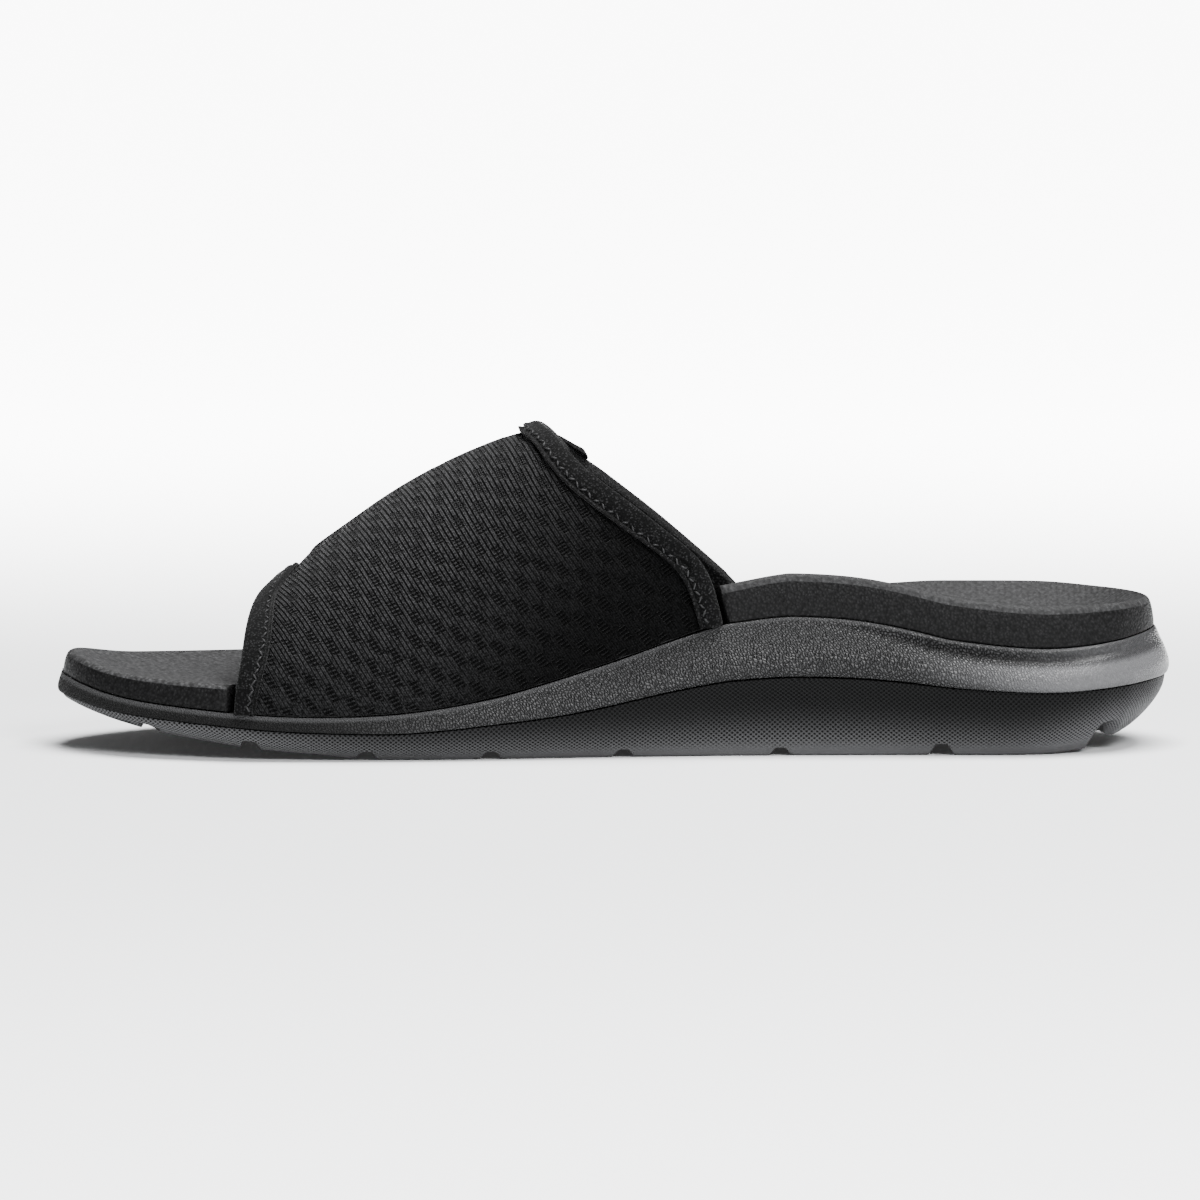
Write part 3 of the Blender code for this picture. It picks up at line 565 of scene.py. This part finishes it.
knitFinish = {
    "cordPitch": 0.00125,
    "reliefDepth": 0.00050,
    "columnPitch": 0.00535,  # columns of openwork stand upright, across the cords
    "rowPitch": 0.0060,
    "slant": 0.62,  # how far a cord runs rearward on its way down, at the band's foot
    "slantLoss": 0.90,  # share of that slant lost at the crown
    "holeDepth": 0.00030,
    "holeHalfWidth": 0.00125,
    "holeHalfLength": 0.0023,
    "barPitch": 0.00098,
    "beadPitch": 0.00066,
    "yarnShades": (grey(0.0003), grey(0.068)),
    "liningShades": (grey(0.008), grey(0.014)),
    "padding": 0.0007,  # how far the knit swells between its bindings, and how soon
    "frontFlat": 0.0035,
    "frontRise": 0.0080,
    "collarFlat": 0.0052,
    "collarRise": 0.0060,
    "footRise": 0.012,
    "sharpAngle": math.radians(50),
    "sharpness": 0.8,
    "subdivisions": 3,
}


def outerPatch(bm):
    # the faces of the band's outer side, up to the sharp edges of its wall
    top = max(bm.verts, key=lambda vert: vert.co.z)
    start = max(top.link_faces, key=lambda face: face.normal.z)
    found, front = {start}, [start]
    while front:
        face = front.pop()
        for edge in face.edges:
            for other in edge.link_faces:
                if other not in found and edge.calc_face_angle() < knitFinish["sharpAngle"]:
                    found.add(other)
                    front.append(other)
    return found


def stepsFrom(starts, edges):
    # how many edges each vertex lies from the nearest starting one
    steps = {vert: 0 for vert in starts}
    front = list(starts)
    while front:
        following = []
        for vert in front:
            for edge in vert.link_edges:
                other = edge.other_vert(vert)
                if edge in edges and other not in steps:
                    steps[other] = steps[vert] + 1
                    following.append(other)
        front = following
    return steps


def borderPath(corner, target, border, longest=60):
    # the vertices along the patch's border from one corner to another, the short way
    for first in corner.link_edges:
        if first not in border:
            continue
        path, edge, vert = [corner], first, first.other_vert(corner)
        while True:
            path.append(vert)
            onward = [other for other in vert.link_edges if other in border and other is not edge]
            if vert is target:
                return path
            if vert is corner or len(path) > longest or not onward:
                break
            edge = onward[0]
            vert = edge.other_vert(vert)
    return []


def bandGrid(bm, patch):
    # vertices of the outer side by [way over the foot, medial to lateral][front edge to collar]
    edges = {edge for face in patch for edge in face.edges}
    border = {edge for edge in edges if sum(face in patch for face in edge.link_faces) == 1}
    verts = {vert for face in patch for vert in face.verts}
    corners = [vert for vert in verts if sum(face in patch for face in vert.link_faces) == 1]
    medial = sorted((vert for vert in corners if vert.co.y > 0), key=lambda vert: vert.co.x)
    lateral = sorted((vert for vert in corners if vert.co.y < 0), key=lambda vert: vert.co.x)
    foot = borderPath(medial[1], medial[0], border)
    frontEdge = borderPath(medial[1], lateral[1], border)
    over = stepsFrom(foot, edges)
    back = stepsFrom(frontEdge, edges)
    columns, rows = len(frontEdge), len(foot)
    grid = [[None] * rows for _ in range(columns)]
    for vert in verts:
        grid[over[vert]][back[vert]] = vert
    return grid


def cordMap(bm, grid, patch):
    # UV maps of the knit: cords counted along u and metres over the foot along v, and the cords' lean
    pitch = knitFinish["cordPitch"]
    slant, loss = knitFinish["slant"], knitFinish["slantLoss"]
    place, lean = {}, {}
    for j in range(len(grid[0])):
        reach = [0.0]
        for here, there in zip(grid, grid[1:]):
            reach.append(reach[-1] + (there[j].co - here[j].co).length)
        crown = reach[len(reach) // 2]
        for i, run in enumerate(reach):
            medial = run < crown
            up = run if medial else reach[-1] - run
            half = crown if medial else reach[-1] - crown
            share = up / half
            slid = slant * half * (share - loss * share**3 / 3)
            if not medial:
                slid += slant * (crown - half) * (1 - loss / 3)
            place[grid[i][j]] = ((grid[i][j].co.x - slid) / pitch + 200, run)
            lean[grid[i][j]] = (slant * (1 - loss * share**2) * (1 if medial else -1), share)
    cords = bm.loops.layers.uv.new("cords")
    leans = bm.loops.layers.uv.new("lean")
    for face in bm.faces:
        for loop in face.loops:
            loop[cords].uv = place.get(loop.vert, (0, 0)) if face in patch else (0, 0)
            loop[leans].uv = lean.get(loop.vert, (0, 0)) if face in patch else (0, 0)


def holeShare(x, run, lean):
    # 1 in an openwork place, 0 on plain knit
    column = x / knitFinish["columnPitch"]
    row = run / knitFinish["rowPitch"] + 0.5 * (math.floor(column) % 2)
    up = (row % 1 - 0.5) * knitFinish["rowPitch"]
    aside = (column % 1 - 0.5) * knitFinish["columnPitch"] - lean * up
    far = max(abs(aside) / knitFinish["holeHalfWidth"], abs(up) / knitFinish["holeHalfLength"])
    return ease((1.2 - far) / 0.5)


def knitCloth():
    # slanting cords of two wales each, and upright columns of openwork, barred like purl stitches
    material, tree, surface = startMaterial("knitCloth", grey(0.008), 0.80, 0.02)
    surface.inputs["Sheen Weight"].default_value = 0.05
    surface.inputs["Sheen Roughness"].default_value = 0.35
    uv = addNode(tree, "ShaderNodeUVMap", {"uv_map": "cords"})
    parts = addNode(tree, "ShaderNodeSeparateXYZ", Vector=uv.outputs["UV"])
    across, run = parts.outputs["X"], parts.outputs["Y"]
    leans = addNode(tree, "ShaderNodeUVMap", {"uv_map": "lean"})
    leanParts = addNode(tree, "ShaderNodeSeparateXYZ", Vector=leans.outputs["UV"])
    lean, upShare = leanParts.outputs["X"], leanParts.outputs["Y"]
    place = objectPlace(tree)
    x = addNode(tree, "ShaderNodeSeparateXYZ", Vector=place).outputs["X"]
    # the openwork's places
    column = maths(tree, "DIVIDE", x, knitFinish["columnPitch"])
    odd = times(tree, maths(tree, "FLOORED_MODULO", maths(tree, "FLOOR", column), 2.0), 0.5)
    row = maths(tree, "ADD", maths(tree, "DIVIDE", run, knitFinish["rowPitch"]), odd)
    up = times(tree, maths(tree, "SUBTRACT", maths(tree, "FRACT", row), 0.5), knitFinish["rowPitch"])
    inColumn = maths(tree, "SUBTRACT", maths(tree, "FRACT", column), 0.5)
    inColumn = times(tree, inColumn, knitFinish["columnPitch"])
    aside = maths(tree, "SUBTRACT", inColumn, times(tree, lean, up))
    sideways = maths(tree, "DIVIDE", maths(tree, "ABSOLUTE", aside), knitFinish["holeHalfWidth"])
    lengthwise = maths(tree, "DIVIDE", maths(tree, "ABSOLUTE", up), knitFinish["holeHalfLength"])
    far = maths(tree, "SMOOTH_MAX", sideways, lengthwise, 0.4)
    wobble = rescale(tree, noise(tree, place, 0.0013, 1.0), 1.3, -0.55)
    openwork = fromOne(tree, band(tree, maths(tree, "ADD", far, wobble), 0.85, 1.20))
    # bars across each place, and painted highlights: bright dots of yarn between the holes toward the
    # crown
    barPhase = maths(tree, "DIVIDE", rescale(tree, aside, 0.30, up), knitFinish["barPitch"])
    bars = maths(tree, "SINE", times(tree, barPhase, 2 * math.pi))
    dotted = maths(tree, "SINE", times(tree, across, 4 * math.pi))
    crownward = band(tree, upShare, 0.45, 0.80)
    highlightDots = times(tree, band(tree, times(tree, bars, dotted), 0.35, 0.8), openwork)
    highlightDots = times(tree, highlightDots, rescale(tree, crownward, 0.8, 0.2))
    bars = maths(tree, "MAXIMUM", band(tree, bars, -0.7, 0.1), times(tree, crownward, 0.85))
    holes = times(tree, openwork, bars)
    # cords parted by thin grooves, which fade toward the foot, and two wales of stitches on each
    cord = maths(tree, "ABSOLUTE", maths(tree, "SINE", times(tree, across, math.pi)))
    groove = fromOne(tree, band(tree, cord, 0.18, 0.85))
    front = band(tree, x, -0.005, 0.060)
    upper = rescale(tree, front, 0.35, upShare)
    groove = times(tree, groove, rescale(tree, band(tree, upper, 0.20, 0.75), 0.85, 0.15))
    wale = maths(tree, "ABSOLUTE", maths(tree, "SINE", times(tree, across, 2 * math.pi)))
    beadPhase = rescale(tree, wale, 0.35, maths(tree, "DIVIDE", run, knitFinish["beadPitch"]))
    beads = rescale(tree, maths(tree, "SINE", times(tree, beadPhase, 2 * math.pi)), 0.5, 0.5)
    fuzz = noise(tree, place, 0.00050, 2.0)
    height = times(tree, wale, 0.22)
    height = maths(tree, "ADD", height, times(tree, beads, 0.07))
    height = maths(tree, "ADD", height, times(tree, fuzz, 0.40))
    height = maths(tree, "SUBTRACT", height, times(tree, groove, 0.80))
    height = maths(tree, "SUBTRACT", height, times(tree, holes, 0.65))
    bump(tree, surface, height, knitFinish["reliefDepth"])
    # painted light and shade: the yarn is painted brightest on the upper front and nearly black at the
    # foot, with painted highlights on the beads and painted shade in the grooves and holes; the fuzz
    # adds a random tone
    yarnAndLight = times(tree, rescale(tree, beads, 0.22, 0.78), rescale(tree, wale, 0.40, 0.60))
    yarnAndLight = times(tree, yarnAndLight, rescale(tree, band(tree, fuzz, 0.30, 0.66), 0.75, 0.25))
    yarnAndLight = times(tree, yarnAndLight, rescale(tree, groove, -0.96, 1.0))
    yarnAndLight = times(tree, yarnAndLight, rescale(tree, holes, -0.85, 1.0))
    yarnAndLight = rescale(tree, highlightDots, 1.0, yarnAndLight)
    reach = rescale(tree, upShare, 0.60, times(tree, front, 0.40))
    yarnAndLight = times(tree, yarnAndLight, rescale(tree, band(tree, reach, 0.05, 0.95), 0.86, 0.14))
    shade(tree, surface, maths(tree, "POWER", yarnAndLight, 1.3), *knitFinish["yarnShades"])
    return material


def liningCloth():
    # smooth brushed lining on the band's inner side
    material, tree, surface = startMaterial("liningCloth", grey(0.012), 0.95, 0.15)
    surface.inputs["Sheen Weight"].default_value = 0.08
    place = objectPlace(tree)
    bump(tree, surface, noise(tree, place, 0.0007, 3.0), 0.00012)
    shade(tree, surface, noise(tree, place, 0.004), *knitFinish["liningShades"])
    return material


def pressHoles(piece):
    # the openwork lies a little lower than the cords, in the mesh itself
    mesh = piece.data
    runs, leans = mesh.uv_layers["cords"].data, mesh.uv_layers["lean"].data
    depth = {}
    for polygon in mesh.polygons:
        if polygon.material_index == 0:
            for k in polygon.loop_indices:
                vertex = mesh.loops[k].vertex_index
                share = holeShare(mesh.vertices[vertex].co.x, runs[k].uv.y, leans[k].uv.x)
                depth[vertex] = share * knitFinish["holeDepth"]
    moves = [(k, mesh.vertices[k].normal.copy() * fall) for k, fall in depth.items()]
    for k, move in moves:
        mesh.vertices[k].co -= move


bandMesh = cadMesh("upper")
bandPatch = outerPatch(bandMesh)
bandVerts = bandGrid(bandMesh, bandPatch)
bandPlaces = [[vert.co.copy() for vert in column] for column in bandVerts]


def patchNormal(vert):
    return sum((face.normal for face in vert.link_faces if face in bandPatch), Vector()).normalized()


bandNormals = [[patchNormal(vert) for vert in column] for column in bandVerts]
knitCords = knitCloth()


def padding(co):
    # how far the padded knit stands out at a place, as a vector
    front = toLine(co, [column[0] for column in bandPlaces])
    collar = toLine(co, [column[-1] for column in bandPlaces])
    foot = min(toLine(co, bandPlaces[0]), toLine(co, bandPlaces[-1]))
    amount = ease((front - knitFinish["frontFlat"]) / knitFinish["frontRise"])
    amount *= ease((collar - knitFinish["collarFlat"]) / knitFinish["collarRise"])
    amount *= ease(foot / knitFinish["footRise"])
    i, j = min(
        ((i, j) for i, column in enumerate(bandPlaces) for j in range(len(column))),
        key=lambda ij: (bandPlaces[ij[0]][ij[1]] - co).length_squared,
    )
    return bandNormals[i][j] * amount * knitFinish["padding"]


def makeBand():
    cordMap(bandMesh, bandVerts, bandPatch)
    for column in bandVerts:
        for vert in column:
            vert.co += padding(vert.co)
    for face in bandMesh.faces:
        face.material_index = 0 if face in bandPatch else 1
    creaseEdges(bandMesh, knitFinish["sharpAngle"], knitFinish["sharpness"])
    piece = addPiece(bandMesh, "knitBand", [knitCords, liningCloth()])
    subdivide(piece, knitFinish["subdivisions"])
    applyModifiers(piece)
    pressHoles(piece)
    handOver(piece, "knit", "upper")


makeBand()
print("band made:", len(bandPlaces), "by", len(bandPlaces[0]))


# bindings, flap and stitching

tapeFinish = {
    "grain": 0.0006,
    "grainDepth": 0.00018,
    "tapeShades": (grey(0.0018), grey(0.028)),
    "threadShades": (grey(0.006), grey(0.030)),
    "stitchLength": 0.0022,
    "stitchThick": 0.00030,
    "stitchPitch": 0.0023,
    "stitchTurn": math.radians(36),
    "stitchInset": 0.0019,  # from the binding's inner edge
    "searchStep": 0.0001,  # steps in which a binding's inner edge is looked for, from far to near
    "searchFrom": 110,
    "searchTo": 20,
    "rayHeight": 0.006,
    "ridge": 0.00020,
    "ridgeAt": 0.0005,
    "ridgeHalfWidth": 0.0006,
    "channelAt": 0.0018,
    "channelDepth": 0.00040,
    "channelHalfWidth": 0.0009,
    "rollHeight": 0.00070,
    "rollPast": 0.0008,  # how far past the edge the roll would end
    "rollSkew": 1.5,
    "crease": (math.radians(60), 0.45),
    "subdivisions": 3,
}


def tapeCloth():
    # plain knitted tape with a faint rib
    material, tree, surface = startMaterial("tapeCloth", grey(0.012), 0.80, 0.03)
    surface.inputs["Sheen Weight"].default_value = 0.05
    surface.inputs["Sheen Roughness"].default_value = 0.5
    place = objectPlace(tree)
    grain = pebbles(tree, place, tapeFinish["grain"])
    bump(tree, surface, grain, tapeFinish["grainDepth"])
    # the grain's tops are paler, in patches
    tops = band(tree, grain, 0.45, 0.95)
    paleGrainPatches = times(tree, tops, band(tree, noise(tree, place, 0.0007, 2.0), 0.20, 0.80))
    shade(tree, surface, paleGrainPatches, *tapeFinish["tapeShades"])
    return material


def threadFinish():
    material, tree, surface = startMaterial("thread", grey(0.020), 0.50, 0.2)
    place = objectPlace(tree)
    bump(tree, surface, noise(tree, place, 0.0003, 2.0), 0.00006)
    shade(tree, surface, noise(tree, place, 0.002), *tapeFinish["threadShades"])
    return material


tape = tapeCloth()
thread = threadFinish()


def makeBinding(nodeName, pieceName, edgeIndex):
    # the folded tape, shaped across its width: a ridge, a sunk channel and a padded roll at the edge
    edgeLine = [column[edgeIndex] for column in bandPlaces]
    normals = [column[edgeIndex] for column in bandNormals]
    bm = cadMesh(nodeName)
    widths = [0.0] * len(edgeLine)
    for vert in bm.verts:
        k = min(range(len(edgeLine)), key=lambda k: (edgeLine[k] - vert.co).length_squared)
        widths[k] = max(widths[k], toLine(vert.co, edgeLine))
    creaseEdges(bm, *tapeFinish["crease"])
    piece = addPiece(bm, pieceName, [tape])
    subdivide(piece, tapeFinish["subdivisions"])
    applyModifiers(piece)
    moves = []
    for vertex in piece.data.vertices:
        k = min(range(len(edgeLine)), key=lambda k: (edgeLine[k] - vertex.co).length_squared)
        facing = vertex.normal.dot(normals[k])
        if facing > 0.1:
            inward = widths[k] - toLine(vertex.co, edgeLine)
            ridge = hump(inward, tapeFinish["ridgeAt"], tapeFinish["ridgeHalfWidth"])
            channel = hump(inward, tapeFinish["channelAt"], tapeFinish["channelHalfWidth"])
            rollWidth = widths[k] + tapeFinish["rollPast"] - tapeFinish["channelAt"]
            rollShare = (inward - tapeFinish["channelAt"]) / rollWidth
            rollShare = min(1, max(0, rollShare)) ** tapeFinish["rollSkew"]
            roll = tapeFinish["rollHeight"] * math.sqrt(1 - (2 * rollShare - 1) ** 2)
            height = ridge * tapeFinish["ridge"] - channel * tapeFinish["channelDepth"] + roll
            moves.append((vertex.index, vertex.normal * (height * ease(facing * 1.5))))
    for k, move in moves:
        piece.data.vertices[k].co += move
    handOver(piece, "binding", nodeName)
    return piece


def bandColumn(turn):
    # one line of the band's outer side from front edge to collar, at a share of the way over the foot
    at = turn * (len(bandPlaces) - 1)
    i = min(int(at), len(bandPlaces) - 2)
    return [here.lerp(there, at - i) for here, there in zip(bandPlaces[i], bandPlaces[i + 1])]


def bandFrame(turn, edge, past):
    # place, way over the foot and outward normal at a distance in from the band's front or collar edge
    nudge = 0.004
    line, before, after = (bandColumn(min(1, max(0, turn + step))) for step in (0, -nudge, nudge))
    if edge == "collar":
        line, before, after = line[::-1], before[::-1], after[::-1]
    run = 0.0
    for k in range(len(line) - 1):
        piece = (line[k + 1] - line[k]).length
        if run + piece >= past:
            break
        run += piece
    share = (past - run) / piece
    point = line[k].lerp(line[k + 1], share)
    over = after[k].lerp(after[k + 1], share) - before[k].lerp(before[k + 1], share)
    off = (line[k] - line[k + 1]).normalized()
    normal = over.cross(off).normalized()
    if normal.dot(point - Vector((point.x, 0, 0.02))) < 0:
        normal.negate()
    return point, over.normalized(), normal


def dropOn(bindingTree, turn, edge, past, reach):
    # where a ray from above meets the binding, with the way over the foot and the normal there
    point, over, normal = bandFrame(turn, edge, past)
    hit = bindingTree.ray_cast(point + normal * tapeFinish["rayHeight"], -normal, reach)
    return hit[0], over, normal


def makeStitching(binding, edge, pieceName):
    # short slanting stitches in the channel beside the raised seam
    corners = [vertex.co for vertex in binding.data.vertices]
    bindingTree = BVHTree.FromPolygons(corners, [polygon.vertices for polygon in binding.data.polygons])
    line = [bandFrame(k / 200, edge, 0.0)[0] for k in range(201)]
    length = sum((there - here).length for here, there in zip(line, line[1:]))
    count = int(length / tapeFinish["stitchPitch"])
    bm = bmesh.new()
    for k in range(1, count):
        turn = k / count
        for step in range(tapeFinish["searchFrom"], tapeFinish["searchTo"], -1):
            inner = step * tapeFinish["searchStep"]
            point, over, normal = dropOn(bindingTree, turn, edge, inner, 0.0055)
            if point is not None:
                break
        if point is None:
            continue
        point, over, normal = dropOn(bindingTree, turn, edge, inner - tapeFinish["stitchInset"], 0.008)
        if point is None:
            continue
        lean = Matrix.Rotation(tapeFinish["stitchTurn"] * (1 if k % 2 else -1), 4, "Z")
        basis = Matrix((over, normal.cross(over), normal)).transposed().to_4x4()
        thick = tapeFinish["stitchThick"]
        size = Matrix.Diagonal((tapeFinish["stitchLength"] / 2, thick, thick, 1.0))
        place = Matrix.Translation(point + normal * thick * 0.3)
        bmesh.ops.create_icosphere(bm, subdivisions=1, radius=1.0, matrix=place @ basis @ lean @ size)
    piece = addPiece(bm, pieceName, [thread])
    handOver(piece, "binding")


flapFinish = {
    "settle": 0.00070,  # how far its front end sinks to the knit
    "settleFrom": 0.0060,
    "settleFade": 0.0090,
    "crease": (math.radians(60), 0.5),
    "subdivisions": 2,
}


def makeFlap():
    bm = cadMesh("closure_flap")
    frontEdge = [column[0] for column in bandPlaces]
    for vert in bm.verts:
        past = toLine(vert.co, frontEdge) - flapFinish["settleFrom"]
        near = 1 - ease(past / flapFinish["settleFade"])
        vert.co += padding(vert.co) - Vector((0, 0, flapFinish["settle"] * near))
    creaseEdges(bm, *flapFinish["crease"])
    piece = addPiece(bm, "closureFlap", [tape])
    subdivide(piece, flapFinish["subdivisions"])
    handOver(piece, "knit", "closure_flap")


makeFlap()
makeStitching(makeBinding("toe_binding", "frontBinding", 0), "front", "frontStitching")
makeStitching(makeBinding("collar_binding", "collarBinding", -1), "collar", "collarStitching")
print("bindings, flap and stitching made")


# floor, light and camera

stageValues = {
    "floorColour": (0.86, 0.87, 0.88),
    "floorSize": 30.0,
    "glowNear": 0.03,
    "glowAround": 1.7,
    "glowBehind": 8.0,
    "aroundFade": (0.20, 0.95),
    "behindFade": (-1.1, -0.10),
    "worldLevel": 0.12,
    "topPower": 84.0,
    "topSize": 1.1,
    "topPlace": (-0.25, 0.05, 1.5),
    "sidePower": 26.0,
    "sideSize": 0.5,
    "sidePlace": (-0.55, 1.25, 0.85),
}


def makeFloor():
    # a pale floor that glows away from the sandal, and most behind it, as a lit backdrop does
    bm = bmesh.new()
    bmesh.ops.create_grid(bm, x_segments=1, y_segments=1, size=stageValues["floorSize"])
    material, tree, surface = startMaterial("studioFloor", stageValues["floorColour"], 0.9, 0.1)
    surface.inputs["Emission Color"].default_value = (1.0, 1.0, 1.0, 1.0)
    place = objectPlace(tree)
    away = addNode(tree, "ShaderNodeVectorMath", {"operation": "LENGTH"})
    tree.links.new(place, away.inputs[0])
    around = band(tree, away.outputs["Value"], *stageValues["aroundFade"])
    around = times(tree, around, stageValues["glowAround"])
    across = addNode(tree, "ShaderNodeSeparateXYZ", Vector=place).outputs["Y"]
    behind = fromOne(tree, band(tree, across, *stageValues["behindFade"]))
    glow = maths(tree, "ADD", times(tree, behind, stageValues["glowBehind"]), around)
    glow = maths(tree, "ADD", glow, stageValues["glowNear"])
    tree.links.new(glow, surface.inputs["Emission Strength"])
    floor = addPiece(bm, "studioFloor", [material])


def makeLight(name, power, size, place):
    data = bpy.data.lights.new(name, "AREA")
    data.energy = power
    data.size = size
    light = bpy.data.objects.new(name, data)
    bpy.context.scene.collection.objects.link(light)
    light.location = place
    light.rotation_euler = (Vector((0, 0, 0.03)) - Vector(place)).to_track_quat("-Z", "Y").to_euler()


def makeWorld():
    world = bpy.data.worlds.new("studio")
    world.use_nodes = True
    background = world.node_tree.nodes["Background"]
    background.inputs["Color"].default_value = (1.0, 1.0, 1.0, 1.0)
    background.inputs["Strength"].default_value = stageValues["worldLevel"]
    bpy.context.scene.world = world


cameraValues = {
    "azimuth": math.radians(180),  # from the medial side
    "elevation": math.radians(5.5),
    "distance": 2.6,
    "pixelsPerMetre": 3834.0,  # at the sandal's middle plane
    "imageSize": 1200.0,
    "originPixel": (614.0, 741.0),
    "sensor": 36.0,
}


def makeCamera():
    azimuth, elevation = cameraValues["azimuth"], cameraValues["elevation"]
    forward = Vector((-math.sin(azimuth), math.cos(azimuth), -math.tan(elevation))).normalized()
    right = forward.cross(Vector((0, 0, 1))).normalized()
    up = right.cross(forward)
    half = cameraValues["imageSize"] / 2
    aside = (cameraValues["originPixel"][0] - half) / cameraValues["pixelsPerMetre"]
    below = (cameraValues["originPixel"][1] - half) / cameraValues["pixelsPerMetre"]
    data = bpy.data.cameras.new("camera")
    data.sensor_width = cameraValues["sensor"]
    span = cameraValues["imageSize"] / cameraValues["pixelsPerMetre"]
    data.lens = cameraValues["sensor"] * cameraValues["distance"] / span
    data.clip_end = 100.0
    camera = bpy.data.objects.new("camera", data)
    bpy.context.scene.collection.objects.link(camera)
    camera.location = -forward * cameraValues["distance"] - right * aside + up * below
    camera.rotation_euler = forward.to_track_quat("-Z", "Y").to_euler()
    bpy.context.scene.camera = camera


makeFloor()
makeWorld()
makeLight("topSoftbox", stageValues["topPower"], stageValues["topSize"], stageValues["topPlace"])
makeLight("sideSoftbox", stageValues["sidePower"], stageValues["sideSize"], stageValues["sidePlace"])
makeCamera()
print("stage made")
